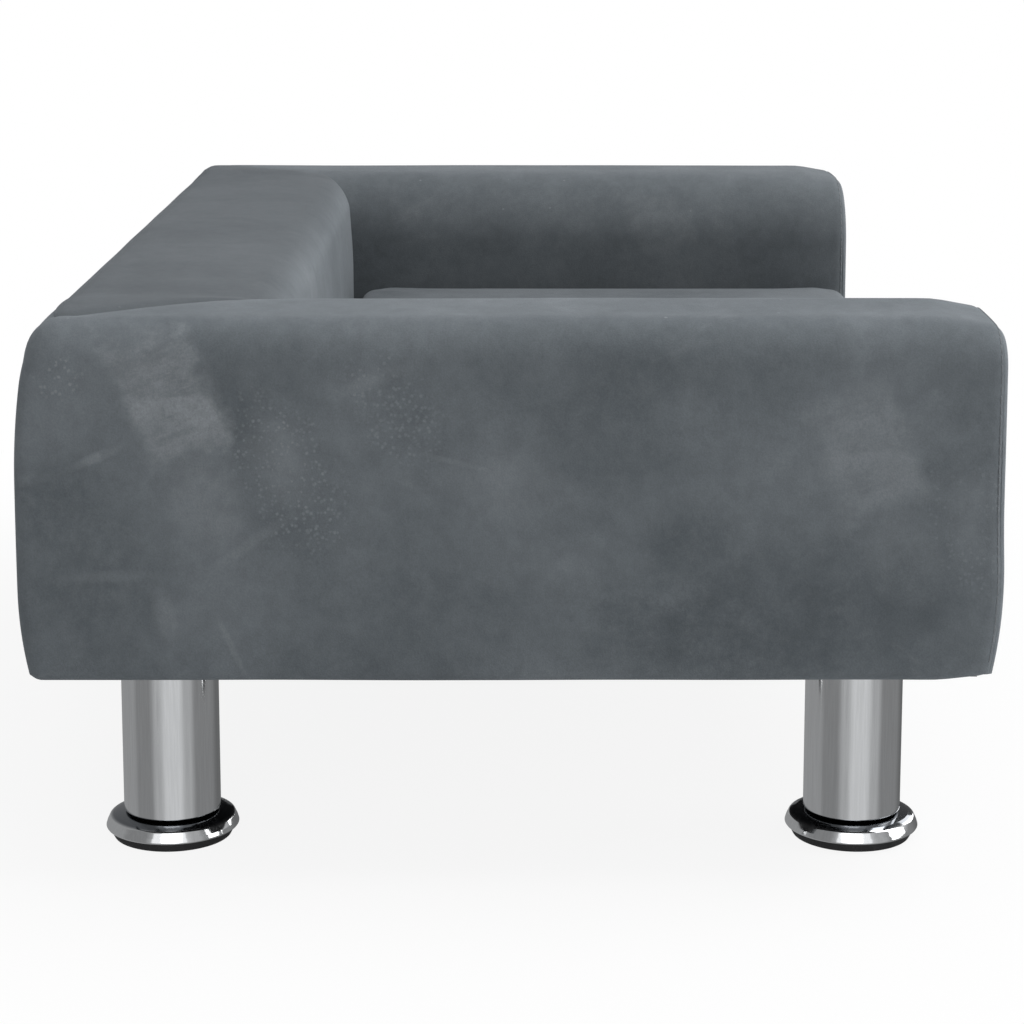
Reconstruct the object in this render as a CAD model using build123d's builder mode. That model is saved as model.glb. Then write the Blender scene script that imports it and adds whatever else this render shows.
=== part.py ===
"""Small velvet daybed on four chrome legs: two padded arms, a padded back and a loose seat cushion.

Millimetres. +Z is up, +X runs along the daybed from the left arm to the right arm, the open front
faces -Y. The origin is on the floor under the middle of the daybed.
"""
import math
import os

from build123d import *

# Overall sizes
length = 700.0
depth = 450.0
leg_height = 98.0
arm_height = 167.0
arm_thickness = 106.0
back_thickness = 120.0

# Roundings and fullness of the padded arms and back
arm_outer_round = 18.0
arm_inner_round = 29.0
arm_front_round = 5.0
rear_round = 19.0
back_inner_round = 45.0
side_fullness = 1.5
top_fullness = 1.5
front_draw = 2.0
front_dip = 4.0
rear_draw = 4.0
rear_dip = 1.5
back_tuck = 24.0

# Upholstery layers
cover_thickness = 1.2
lining_gap = 0.3
fit_gap = 0.3
hem_width = 25.0
facing_return = 4.0
dust_cover_thickness = 0.8
dust_cover_margin = 12.0
outer_padding = 11.0
inner_padding = 16.0
back_padding = 18.0
top_padding = 21.0
apron_setback = 2.0
apron_round = 7.0
hem_round = 2.0

# Wooden frame
panel = 9.0
board = 15.0
rail = 20.0
post = 20.0
seat_rail_height = 33.5
corner_gap = 6.0
back_end_gap = 6.0

# Seat cushion
cushion_thickness = 46.0
cushion_end_gap = 3.0
cushion_rear_gap = 3.0
cushion_front_gap = 3.5
cushion_corner = 24.0
cushion_side_draw = 3.0
cushion_lower_roll = 8.0
cushion_lower_draw = 6.0
cushion_upper_roll = 14.0
cushion_roll_angles = (0, 38, 76)
cushion_crown = 6.0
cushion_crown_flat = 51.0
cushion_crown_steps = 4

# Zip along the rear of the cushion cover
zip_length = 240.0
zip_height = 8.0
zip_level = 17.0
zip_clearance = 0.3
slider_length = 10.0
slider_height = 6.5
slider_depth = 2.8
slider_end_gap = 5.0
tab_width = 4.0
tab_length = 11.0
tab_thickness = 0.8

# Fasteners
bolt_diameter = 6.0
bolt_head_diameter = 12.0
bolt_head_height = 4.0
bolt_end = 5.0
bolt_end_gap = 12.0
nut_barrel_diameter = 8.0
nut_barrel_length = 7.0
nut_flange_diameter = 18.0
nut_flange = 1.5
screw_diameter = 4.5
screw_head_diameter = 8.5
screw_head_height = 2.6
screw_length = 40.0
deck_screw_length = 28.0
back_screw_spread = 240.0
deck_screw_spread = 360.0
hole_clearance = 0.1

# Legs and levelling feet
leg_edge_gap = 12.5
leg_end_gap = 48.8
tube_diameter = 46.8
tube_wall = 1.5
press_gap = 0.05
cap_height = 10.0
plug_height = 22.0
thread_diameter = 8.0
thread_clearance = 0.1
insert_diameter = 12.0
stud_engagement = 10.0
foot_stud_length = 32.0
foot_diameter = 64.4
foot_overhang = 1.5
foot_taper = 1.9
foot_bow = 0.25
foot_rim_width = 5.4
foot_neck_diameter = 22.0
foot_neck_gap = 1.3
foot_hollow = 3.5
foot_band = 5.0
foot_roll_rise = 1.0
foot_roll_inset = 1.6
foot_dome_rise = 1.6
foot_dome_flat_diameter = 44.0
pad_height = 4.8
pad_taper = 2.45
pad_boss_height = 1.8

# Levels and faces worked out from the sizes above
half_length = length / 2
half_depth = depth / 2
height = leg_height + arm_height
arm_inner = half_length - arm_thickness
back_inner = half_depth - back_thickness
skin = cover_thickness + lining_gap
upholstery_bottom = leg_height + dust_cover_thickness
frame_bottom = upholstery_bottom + cover_thickness
frame_outer = half_length - outer_padding
frame_inner = arm_inner + inner_padding
frame_end = half_depth - outer_padding
frame_top = height - top_padding
arm_board_top = frame_bottom + board
deck_bottom = frame_bottom + seat_rail_height
deck_top = deck_bottom + panel
lining_top = deck_top + cover_thickness
cushion_bottom = lining_top + fit_gap
seat_height = cushion_bottom + cushion_thickness
back_frame_inner = back_inner + back_padding
back_frame_half = arm_inner - back_end_gap
back_board_top = deck_bottom + board
seat_frame_half = frame_inner
apron_front = -half_depth + apron_setback
corner_block = frame_end - back_frame_inner - 2 * rail - corner_gap
leg_x = frame_inner + leg_edge_gap
leg_y = frame_end - leg_end_gap
foot_dome_top = pad_height + foot_band + foot_roll_rise + foot_dome_rise
tube_bottom = foot_dome_top + foot_neck_gap
leg_points = {
    "left_front": (-leg_x, -leg_y),
    "right_front": (leg_x, -leg_y),
    "left_rear": (-leg_x, leg_y),
    "right_rear": (leg_x, leg_y),
}


def save(part, name):
    """Label a finished piece and write its file."""
    part.label = name
    export_step(part, f"parts/{name}.step")


def save_pair(part, name):
    """Write a right-hand piece and its mirror image for the left side."""
    save(part, f"right_{name}")
    save(mirror(part, about=Plane.YZ), f"left_{name}")


def block(x_span, y_span, z_span):
    """A plain rectangular piece between two faces in each direction."""
    x_low, x_high = x_span
    y_low, y_high = y_span
    z_low, z_high = z_span
    with BuildPart() as piece:
        with Locations(((x_low + x_high) / 2, (y_low + y_high) / 2, z_low)):
            Box(x_high - x_low, y_high - y_low, z_high - z_low, align=(Align.CENTER, Align.CENTER, Align.MIN))
    return piece.part


def arm_form(inset):
    """Outer form of the right arm, taken in by a distance: its cross-section cut to its side outline."""
    inner = arm_inner + inset
    outer = half_length - inset
    front = -half_depth + inset
    rear = half_depth - inset
    bottom = upholstery_bottom + inset
    top = height - inset
    middle = (bottom + top) / 2
    with BuildPart() as form:
        with BuildSketch(Plane.XZ) as section:
            low_inner = (inner + side_fullness, bottom)
            low_outer = (outer - side_fullness, bottom)
            high_outer = (outer - side_fullness, top - top_fullness)
            high_inner = (inner + side_fullness, top - top_fullness)
            with BuildLine():
                Line(low_inner, low_outer)
                ThreePointArc(low_outer, (outer, middle), high_outer)
                ThreePointArc(high_outer, ((inner + outer) / 2, top), high_inner)
                ThreePointArc(high_inner, (inner, middle), low_inner)
            make_face()
            fillet(section.vertices().sort_by(Axis.X)[-2:].sort_by(Axis.Y)[-1], arm_outer_round - inset)
            fillet(section.vertices().sort_by(Axis.X)[:2].sort_by(Axis.Y)[-1], arm_inner_round - inset)
        extrude(amount=depth, both=True)
        with BuildSketch(Plane.YZ) as outline:
            low_front = (front + front_draw, bottom)
            low_rear = (rear - rear_draw, bottom)
            high_rear = (rear - rear_draw, top - rear_dip)
            high_front = (front + front_draw, top - front_dip)
            with BuildLine():
                Line(low_front, low_rear)
                ThreePointArc(low_rear, (rear, middle), high_rear)
                ThreePointArc(high_rear, (0, top), high_front)
                ThreePointArc(high_front, (front, middle), low_front)
            make_face()
            fillet(outline.vertices().sort_by(Axis.X)[-2:].sort_by(Axis.Y)[-1], rear_round - inset)
            fillet(outline.vertices().sort_by(Axis.X)[:2].sort_by(Axis.Y)[-1], arm_front_round - inset)
        extrude(amount=length, both=True, mode=Mode.INTERSECT)
    return form.part


def back_form(inset):
    """Outer form of the back between the arms, taken in by a distance; its ends follow the arms."""
    front = back_inner + inset
    rear = half_depth - inset
    bottom = upholstery_bottom + inset
    top = height - inset
    middle = (bottom + top) / 2
    arm = arm_form(-fit_gap - inset)
    with BuildPart() as form:
        with BuildSketch(Plane.YZ) as outline:
            low_front = (front + side_fullness, bottom)
            low_rear = (rear - rear_draw, bottom)
            high_rear = (rear - rear_draw, top - rear_dip)
            high_front = (front + side_fullness, top - rear_dip)
            with BuildLine():
                Line(low_front, low_rear)
                ThreePointArc(low_rear, (rear, middle), high_rear)
                ThreePointArc(high_rear, ((front + rear) / 2, top), high_front)
                ThreePointArc(high_front, (front, middle), low_front)
            make_face()
            fillet(outline.vertices().sort_by(Axis.X)[-2:].sort_by(Axis.Y)[-1], rear_round - inset)
            fillet(outline.vertices().sort_by(Axis.X)[:2].sort_by(Axis.Y)[-1], back_inner_round - inset)
        extrude(amount=arm_inner + back_tuck - inset, both=True)
        add(arm, mode=Mode.SUBTRACT)
        add(mirror(arm, about=Plane.YZ), mode=Mode.SUBTRACT)
    return form.part


def cushion_section(level, draw):
    """One level of the cushion: a rectangle with round corners whose sides are drawn in."""
    half_x = arm_inner - cushion_end_gap - draw
    rear = back_inner - cushion_rear_gap - draw
    front = -half_depth + cushion_front_gap + draw
    middle = (front + rear) / 2
    with BuildSketch(Plane.XY.offset(level)) as section:
        with BuildLine():
            ThreePointArc((-half_x, front), (0, front + cushion_side_draw), (half_x, front))
            ThreePointArc((half_x, front), (half_x - cushion_side_draw, middle), (half_x, rear))
            ThreePointArc((half_x, rear), (0, rear - cushion_side_draw), (-half_x, rear))
            ThreePointArc((-half_x, rear), (-half_x + cushion_side_draw, middle), (-half_x, front))
        make_face()
        fillet(section.vertices(), cushion_corner)
    return section.sketch


def cushion_form(inset):
    """Outer form of the seat cushion, taken in by a distance: rolled edges under a crowned top."""
    bottom = cushion_bottom + inset
    top = seat_height - inset
    shoulder = top - cushion_crown
    half_width = (back_inner - cushion_rear_gap + half_depth - cushion_front_gap) / 2
    last_angle = math.radians(cushion_roll_angles[-1])
    roll_start = shoulder - cushion_upper_roll * math.sin(last_angle)
    sections = [
        cushion_section(bottom, cushion_lower_draw + inset),
        cushion_section(bottom + cushion_lower_roll, inset),
    ]
    for angle in cushion_roll_angles:
        turn = math.radians(angle)
        roll_draw = cushion_upper_roll * (1 - math.cos(turn))
        level = roll_start + cushion_upper_roll * math.sin(turn)
        sections.append(cushion_section(level, roll_draw + inset))
    crown_reach = half_width - roll_draw - cushion_crown_flat
    crown_sections = [sections[-1]]
    for step in range(1, cushion_crown_steps + 1):
        share = step / cushion_crown_steps
        crown_draw = roll_draw + crown_reach * share
        crown_sections.append(cushion_section(top - cushion_crown * (1 - share) ** 2, crown_draw + inset))
    with BuildPart() as form:
        loft(sections)
        loft(crown_sections, ruled=True)
    return form.part


def screw(head_point, direction, body_length):
    """A countersunk wood screw with its head's flat face at a point."""
    seat = Plane(origin=head_point, z_dir=direction)
    with BuildPart() as piece:
        with BuildSketch(seat) as head:
            Circle(screw_head_diameter / 2)
        with BuildSketch(seat.offset(screw_head_height)) as neck:
            Circle(screw_diameter / 2)
        loft([head.sketch, neck.sketch], ruled=True)
        with BuildSketch(seat.offset(screw_head_height)):
            Circle(screw_diameter / 2)
        extrude(amount=body_length - screw_head_height)
    return piece.part


def drilled(part, tools):
    """A piece with the shapes of its fasteners cut out of it."""
    with BuildPart() as piece:
        add(part)
        for tool in tools:
            add(tool, mode=Mode.SUBTRACT)
    return piece.part


def pin(point, direction, diameter, body_length):
    """A round bar from a point along a direction."""
    with BuildPart() as piece:
        with BuildSketch(Plane(origin=point, z_dir=direction)):
            Circle(diameter / 2)
        extrude(amount=body_length)
    return piece.part


def ring(point, direction, outer, bore, body_length):
    """A round collar with a bore, from a point along a direction."""
    with BuildPart() as piece:
        with BuildSketch(Plane(origin=point, z_dir=direction)):
            Circle(outer / 2)
            Circle(bore / 2, mode=Mode.SUBTRACT)
        extrude(amount=body_length)
    return piece.part


def group(pieces):
    """Several loose solids kept together in one node."""
    return Compound(children=pieces)


os.makedirs("parts", exist_ok=True)
up = (0, 0, 1)
down = (0, 0, -1)
outward = (1, 0, 0)

# Screws that hold the frame together, which also cut their own holes
post_middle = frame_end - post / 2
arm_screw_x = (frame_inner + frame_outer) / 2
arm_screws = [screw((arm_screw_x, side * post_middle, frame_bottom), up, screw_length) for side in (-1, 1)]
arm_screws += [mirror(piece, about=Plane.YZ) for piece in arm_screws]
screw_row_inset = (panel + rail) / 2
back_screw_rows = (back_frame_inner + screw_row_inset, frame_end - screw_row_inset)
back_screws = [
    screw((side * back_screw_spread / 2, row, back_board_top), down, screw_length)
    for side in (-1, 1)
    for row in back_screw_rows
]
front_rail_middle = -frame_end + rail / 2
deck_screws = [
    screw((step * deck_screw_spread / 2, front_rail_middle, deck_top), down, deck_screw_length)
    for step in (-1, 0, 1)
]
deck_screws += [
    screw((side * (seat_frame_half - rail / 2), 0, deck_top), down, deck_screw_length) for side in (-1, 1)
]
save(group(arm_screws + back_screws + deck_screws), "frame_screws")

# Bolts that join the arms to the seat frame, in tee nuts inside the arms
rail_inner = seat_frame_half - rail
bolt_z = (arm_board_top + deck_bottom) / 2
front_bolt_y = -frame_end + rail + corner_block + bolt_end_gap
rear_bolt_y = back_frame_inner - bolt_end_gap
bolt_points = [(rail_inner, y, bolt_z) for y in (front_bolt_y, rear_bolt_y)]
arm_bolts = []
bolt_holes = []
tee_nuts = []
nut_holes = []
for x, y, z in bolt_points:
    with BuildPart() as bolt:
        with BuildSketch(Plane(origin=(x, y, z), z_dir=(-1, 0, 0))):
            Circle(bolt_head_diameter / 2)
        extrude(amount=bolt_head_height)
        fillet(bolt.edges().filter_by(GeomType.CIRCLE).sort_by(Axis.X)[0], bolt_head_height / 2)
        with BuildSketch(Plane(origin=(x, y, z), z_dir=outward)):
            Circle(bolt_diameter / 2)
        extrude(amount=rail + panel + nut_flange + bolt_end)
    arm_bolts.append(bolt.part)
    bolt_holes.append(pin((x, y, z), outward, bolt_diameter + 2 * hole_clearance, rail))
    panel_far = x + rail + panel
    bore = bolt_diameter + 2 * hole_clearance
    with BuildPart() as nut:
        barrel_start = (panel_far - nut_barrel_length, y, z)
        add(ring(barrel_start, outward, nut_barrel_diameter, bore, nut_barrel_length))
        add(ring((panel_far, y, z), outward, nut_flange_diameter, bore, nut_flange))
    tee_nuts.append(nut.part)
    nut_holes.append(pin((x + rail, y, z), outward, nut_barrel_diameter + 2 * hole_clearance, panel))
save(group(arm_bolts + [mirror(piece, about=Plane.YZ) for piece in arm_bolts]), "arm_bolts")
save(group(tee_nuts + [mirror(piece, about=Plane.YZ) for piece in tee_nuts]), "arm_tee_nuts")

# Threaded inserts in the arm boards, and the leg studs screwed into them
inserts = []
insert_holes = []
for x, y in leg_points.values():
    bore = thread_diameter + 2 * thread_clearance
    inserts.append(ring((x, y, frame_bottom), up, insert_diameter, bore, board))
    insert_holes.append(pin((x, y, frame_bottom), up, insert_diameter + 2 * hole_clearance, board))
save(group(inserts), "leg_inserts")

# Wooden frame of each arm
arm_ends = (-frame_end, frame_end)
arm_board = block((frame_inner, frame_outer), arm_ends, (frame_bottom, arm_board_top))
save_pair(drilled(arm_board, insert_holes + arm_screws), "arm_bottom_board")
outer_panel = block((frame_outer - panel, frame_outer), arm_ends, (arm_board_top, frame_top))
save_pair(outer_panel, "arm_outer_panel")
inner_panel = block((frame_inner, frame_inner + panel), arm_ends, (arm_board_top, frame_top))
save_pair(drilled(inner_panel, nut_holes), "arm_inner_panel")
arm_hollow = (frame_inner + panel, frame_outer - panel)
arm_top_rail = block(arm_hollow, arm_ends, (frame_top - rail, frame_top))
save(group([arm_top_rail, mirror(arm_top_rail, about=Plane.YZ)]), "arm_top_rails")
post_height = (arm_board_top, frame_top - rail)
front_post = block(arm_hollow, (-frame_end, -frame_end + post), post_height)
rear_post = block(arm_hollow, (frame_end - post, frame_end), post_height)
arm_posts = [drilled(front_post, arm_screws), drilled(rear_post, arm_screws)]
save(group(arm_posts), "right_arm_posts")
save(group([mirror(piece, about=Plane.YZ) for piece in arm_posts]), "left_arm_posts")

# Wooden frame of the seat
rail_levels = (frame_bottom, deck_bottom)
rail_span = (-rail_inner, rail_inner)
side_rail = block((rail_inner, seat_frame_half), arm_ends, rail_levels)
side_rail = drilled(side_rail, bolt_holes + deck_screws)
save(group([side_rail, mirror(side_rail, about=Plane.YZ)]), "seat_side_rails")
front_rail = block(rail_span, (-frame_end, -frame_end + rail), rail_levels)
save(drilled(front_rail, deck_screws), "seat_front_rail")
rear_rail = block(rail_span, (frame_end - rail, frame_end), rail_levels)
save(drilled(rear_rail, back_screws), "seat_rear_rail")
back_rail = block(rail_span, (back_frame_inner, back_frame_inner + rail), rail_levels)
save(drilled(back_rail, back_screws), "seat_back_rail")
middle_rail = block((-rail / 2, rail / 2), (-frame_end + rail, back_frame_inner), rail_levels)
save(middle_rail, "seat_middle_rail")
deck = block((-seat_frame_half, seat_frame_half), (-frame_end, back_frame_inner), (deck_bottom, deck_top))
save(drilled(deck, deck_screws), "seat_deck")
corner_blocks = []
for x_side in (-1, 1):
    for y_side in (-1, 1):
        corner_x = x_side * rail_inner
        corner_y = y_side * (frame_end - rail)
        with BuildPart() as corner:
            with BuildSketch(Plane.XY.offset(frame_bottom)):
                with BuildLine():
                    Polyline(
                        (corner_x, corner_y),
                        (corner_x - x_side * corner_block, corner_y),
                        (corner_x, corner_y - y_side * corner_block),
                        close=True,
                    )
                make_face()
            extrude(amount=rail)
        corner_blocks.append(corner.part)
save(group(corner_blocks), "seat_corner_blocks")

# Wooden frame of the back
back_span = (-back_frame_half, back_frame_half)
back_hollow = (back_frame_inner + panel, frame_end - panel)
back_board = block(back_span, (back_frame_inner, frame_end), (deck_bottom, back_board_top))
save(drilled(back_board, back_screws), "back_bottom_board")
back_levels = (back_board_top, frame_top)
save(block(back_span, (back_frame_inner, back_frame_inner + panel), back_levels), "back_front_panel")
save(block(back_span, (frame_end - panel, frame_end), back_levels), "back_rear_panel")
save(block(back_span, back_hollow, (frame_top - rail, frame_top)), "back_top_rail")
back_posts = []
for step in (-1, 0, 1):
    post_x = step * (back_frame_half - post / 2)
    post_span = (post_x - post / 2, post_x + post / 2)
    back_posts.append(block(post_span, back_hollow, (back_board_top, frame_top - rail)))
save(group(back_posts), "back_posts")

# Space that the seat frame and its deck take out of the padding
seat_reach = 2 * length
seat_space = block((-seat_frame_half, seat_frame_half), arm_ends, (0, cushion_bottom))
arm_frame_space = block((frame_inner, frame_outer), arm_ends, (0, frame_top))

# Padding and cover of each arm
with BuildPart() as arm_foam:
    add(arm_form(skin))
    add(arm_frame_space, mode=Mode.SUBTRACT)
    add(seat_space, mode=Mode.SUBTRACT)
save_pair(arm_foam.part, "arm_foam")

hem_inner = half_length - cover_thickness - hem_width
hem_end = half_depth - cover_thickness - hem_width
with BuildPart() as arm_shell:
    add(arm_form(0))
    add(arm_form(cover_thickness), mode=Mode.SUBTRACT)
    add(seat_space, mode=Mode.SUBTRACT)
    add(block((0, hem_inner), (-hem_end, hem_end), (0, frame_bottom)), mode=Mode.SUBTRACT)
seam = -half_depth + facing_return
with BuildPart() as arm_cover:
    add(arm_shell.part)
    split(bisect_by=Plane(origin=(0, seam, 0), z_dir=(0, 1, 0)), keep=Keep.TOP)
save_pair(arm_cover.part, "arm_cover")
with BuildPart() as arm_facing:
    add(arm_shell.part)
    split(bisect_by=Plane(origin=(0, seam, 0), z_dir=(0, -1, 0)), keep=Keep.TOP)
save_pair(arm_facing.part, "arm_front_facing")

# Padding and cover of the back
back_base_space = block((-seat_reach, seat_reach), (-seat_reach, frame_end), (0, deck_bottom))
back_front_space = block((-seat_reach, seat_reach), (-seat_reach, back_frame_inner), (0, cushion_bottom))
back_frame_space = block(back_span, (back_frame_inner, frame_end), (0, frame_top))
with BuildPart() as back_foam:
    add(back_form(skin))
    add(back_base_space, mode=Mode.SUBTRACT)
    add(back_front_space, mode=Mode.SUBTRACT)
    add(back_frame_space, mode=Mode.SUBTRACT)
save(back_foam.part, "back_foam")

with BuildPart() as back_cover:
    add(back_form(0))
    add(back_form(cover_thickness), mode=Mode.SUBTRACT)
    add(back_front_space, mode=Mode.SUBTRACT)
    add(block((-seat_reach, seat_reach), (0, frame_end), (0, deck_bottom)), mode=Mode.SUBTRACT)
save(back_cover.part, "back_cover")

# Padding and cover of the seat front, with the lining that runs back over the deck
apron_half = arm_inner - fit_gap
with BuildPart() as apron_foam:
    with BuildSketch(Plane.YZ) as outline:
        with BuildLine():
            Polyline(
                (apron_front + skin, frame_bottom + skin),
                (-frame_end, frame_bottom + skin),
                (-frame_end, deck_top - lining_gap),
                (apron_front + skin, deck_top - lining_gap),
                close=True,
            )
        make_face()
        foam_round = apron_round - cover_thickness / 2 - lining_gap
        fillet(outline.vertices().group_by(Axis.Y)[-1].sort_by(Axis.X)[0], foam_round)
    extrude(amount=apron_half - skin, both=True)
save(apron_foam.part, "seat_front_foam")

mid_front = apron_front + cover_thickness / 2
mid_bottom = upholstery_bottom + cover_thickness / 2
mid_lining = deck_top + cover_thickness / 2
with BuildPart() as seat_cover:
    with BuildSketch(Plane.YZ):
        with BuildLine():
            FilletPolyline(
                (mid_front + hem_width, mid_bottom),
                (mid_front, mid_bottom),
                (mid_front, mid_lining),
                (back_inner - fit_gap, mid_lining),
                radius=(hem_round, apron_round),
            )
        trace(line_width=cover_thickness)
    extrude(amount=apron_half, both=True)
save(seat_cover.part, "seat_cover")

# Dust cover under the whole frame, with a hole for each leg stud
dust_x = half_length - dust_cover_margin
dust_y = half_depth - dust_cover_margin
dust_cover = block((-dust_x, dust_x), (-dust_y, dust_y), (leg_height, upholstery_bottom))
stud_hole = thread_diameter + 2 * thread_clearance
stud_holes = [pin((x, y, leg_height), up, stud_hole, dust_cover_thickness) for x, y in leg_points.values()]
save(drilled(dust_cover, stud_holes), "dust_cover")

# Seat cushion: foam in a zipped cover
cushion_rear = back_inner - cushion_rear_gap - cushion_side_draw
zip_z = cushion_bottom + zip_level
tape_y = (cushion_rear - cover_thickness, cushion_rear)
tape_z = (zip_z - zip_height / 2, zip_z + zip_height / 2)
zip_half = zip_length / 2
slot_half = zip_half + zip_clearance
slot_z = (tape_z[0] - zip_clearance, tape_z[1] + zip_clearance)
zip_recess = block((-slot_half, slot_half), (tape_y[0] - zip_clearance, half_depth), slot_z)
with BuildPart() as cushion_foam:
    add(cushion_form(skin))
    add(zip_recess, mode=Mode.SUBTRACT)
save(cushion_foam.part, "cushion_foam")
with BuildPart() as cushion_cover:
    add(cushion_form(0))
    add(cushion_form(cover_thickness), mode=Mode.SUBTRACT)
    add(zip_recess, mode=Mode.SUBTRACT)
save(cushion_cover.part, "cushion_cover")
save(block((-zip_half, zip_half), tape_y, tape_z), "cushion_zip")
slider_x = zip_half - slider_end_gap
slider_y = cushion_rear + zip_clearance
tab_top = zip_z + tab_width / 2
with BuildPart() as slider:
    add(
        block(
            (slider_x - slider_length, slider_x),
            (slider_y, slider_y + slider_depth),
            (zip_z - slider_height / 2, zip_z + slider_height / 2),
        )
    )
    fillet(slider.edges().filter_by(Axis.Y), tab_thickness)
    add(
        block(
            (slider_x - slider_length / 2 - tab_width / 2, slider_x - slider_length / 2 + tab_width / 2),
            (slider_y + slider_depth - tab_thickness, slider_y + slider_depth),
            (tab_top - tab_length, tab_top),
        )
    )
save(slider.part, "zip_slider")

# Legs: chrome tubes with a threaded plug at each end
tube_radius = tube_diameter / 2
bore_radius = tube_radius - tube_wall
plug_diameter = 2 * (bore_radius - press_gap)
nut_bore = thread_diameter + 2 * thread_clearance
caps = []
plugs = []
studs = []
for name, (x, y) in leg_points.items():
    tube = ring((x, y, tube_bottom), up, tube_diameter, 2 * bore_radius, leg_height - tube_bottom)
    save(tube, f"{name}_leg_tube")
    caps.append(ring((x, y, leg_height - cap_height), up, plug_diameter, nut_bore, cap_height))
    plugs.append(ring((x, y, tube_bottom), up, plug_diameter, nut_bore, plug_height))
    stud_top = frame_bottom + stud_engagement
    stud_low = leg_height - cap_height
    studs.append(pin((x, y, stud_low), up, thread_diameter, stud_top - stud_low))
save(group(caps), "leg_top_caps")
save(group(plugs), "leg_bottom_plugs")
save(group(studs), "leg_studs")

# Levelling feet: a chrome saucer on a threaded stud, over a rubber pad
neck_radius = foot_neck_diameter / 2
foot_radius = foot_diameter / 2
rim_radius = foot_radius - foot_overhang
band_top = pad_height + foot_band
roll_top = band_top + foot_roll_rise
dome_flat_radius = foot_dome_flat_diameter / 2
hollow_top = pad_height + foot_hollow
inner_rim = rim_radius - foot_rim_width
boss_radius = inner_rim - fit_gap
for name, (x, y) in leg_points.items():
    upright = Plane(origin=(x, y, 0), x_dir=(1, 0, 0), z_dir=(0, -1, 0))
    axis = Axis((x, y, 0), up)
    with BuildPart() as saucer:
        with BuildSketch(upright):
            with BuildLine():
                rim = (foot_radius, pad_height)
                shoulder = (foot_radius - foot_taper, band_top)
                dome_edge = (shoulder[0] - foot_roll_inset, roll_top)
                crown = (dome_flat_radius, foot_dome_top)
                Polyline(
                    (nut_bore / 2, tube_bottom),
                    (nut_bore / 2, hollow_top),
                    (inner_rim, hollow_top),
                    (inner_rim, pad_height),
                    rim,
                )
                band_bend = (foot_radius - foot_taper / 2 + foot_bow, (pad_height + band_top) / 2)
                ThreePointArc(rim, band_bend, shoulder)
                bend = (shoulder[0] - foot_roll_inset / 4, roll_top - foot_roll_rise / 4)
                ThreePointArc(shoulder, bend, dome_edge)
                dome_bend = ((dome_edge[0] + crown[0]) / 2, foot_dome_top - foot_dome_rise / 4)
                ThreePointArc(dome_edge, dome_bend, crown)
                Polyline(
                    crown,
                    (neck_radius, foot_dome_top),
                    (neck_radius, tube_bottom),
                    (nut_bore / 2, tube_bottom),
                )
            make_face()
        revolve(axis=axis)
    save(saucer.part, f"{name}_foot_saucer")
    foot_stud = pin((x, y, hollow_top), up, thread_diameter, foot_stud_length)
    save(foot_stud, f"{name}_foot_stud")
    with BuildPart() as pad:
        with BuildSketch(upright):
            with BuildLine():
                Polyline(
                    (0, 0),
                    (rim_radius - pad_taper, 0),
                    (rim_radius, pad_height),
                    (boss_radius, pad_height),
                    (boss_radius, pad_height + pad_boss_height),
                    (0, pad_height + pad_boss_height),
                    close=True,
                )
            make_face()
        revolve(axis=axis)
    save(pad.part, f"{name}_foot_pad")
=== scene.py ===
"""Looks of a small velvet daybed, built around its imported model. Metres; +Z up, the open front faces -Y."""
import math

import bpy
import numpy as np
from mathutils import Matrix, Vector, noise


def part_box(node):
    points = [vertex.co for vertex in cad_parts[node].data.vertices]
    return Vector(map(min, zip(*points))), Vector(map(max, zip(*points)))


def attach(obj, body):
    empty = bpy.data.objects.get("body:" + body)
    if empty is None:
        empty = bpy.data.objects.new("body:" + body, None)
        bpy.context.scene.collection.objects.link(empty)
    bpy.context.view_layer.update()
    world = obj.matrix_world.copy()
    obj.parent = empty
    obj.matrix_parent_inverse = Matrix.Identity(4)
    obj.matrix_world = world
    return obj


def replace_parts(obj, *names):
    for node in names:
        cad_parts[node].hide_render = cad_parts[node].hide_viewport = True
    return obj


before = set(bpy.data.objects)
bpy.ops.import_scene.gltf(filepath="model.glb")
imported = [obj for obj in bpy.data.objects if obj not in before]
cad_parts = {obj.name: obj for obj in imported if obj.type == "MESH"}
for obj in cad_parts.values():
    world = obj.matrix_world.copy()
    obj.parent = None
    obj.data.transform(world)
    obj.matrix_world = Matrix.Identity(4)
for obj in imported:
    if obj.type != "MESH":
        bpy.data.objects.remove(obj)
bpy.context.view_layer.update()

MM = 0.001
CORNERS = ("left_front", "right_front", "left_rear", "right_rear")

# Where the padded parts lie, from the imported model
arm_low, arm_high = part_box("right_arm_cover")
front_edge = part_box("right_arm_front_facing")[0].y
back_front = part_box("back_cover")[0].y
cushion_low, cushion_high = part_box("cushion_cover")
apron_low, apron_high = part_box("seat_cover")
dust_low, dust_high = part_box("dust_cover")
arm_inner, arm_outer = arm_low.x, arm_high.x
rear_edge = arm_high.y
pad_bottom, pad_top = arm_low.z, arm_high.z
pad_height = pad_top - pad_bottom

# Roundings and fullness of the covers; the power keeps a face's bow off the faces beside it
outer_round = 18 * MM
inner_round = 40 * MM
rear_round = 18 * MM
back_round = 18 * MM
hem_round = 3 * MM
front_round = 8 * MM
end_round = 6 * MM
crease_round = 2 * MM
least_round = 0.6 * MM
side_fullness = 1.5 * MM
top_fullness = 1.5 * MM
end_bulge = 1.0 * MM
FACE_POWER = 6

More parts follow.
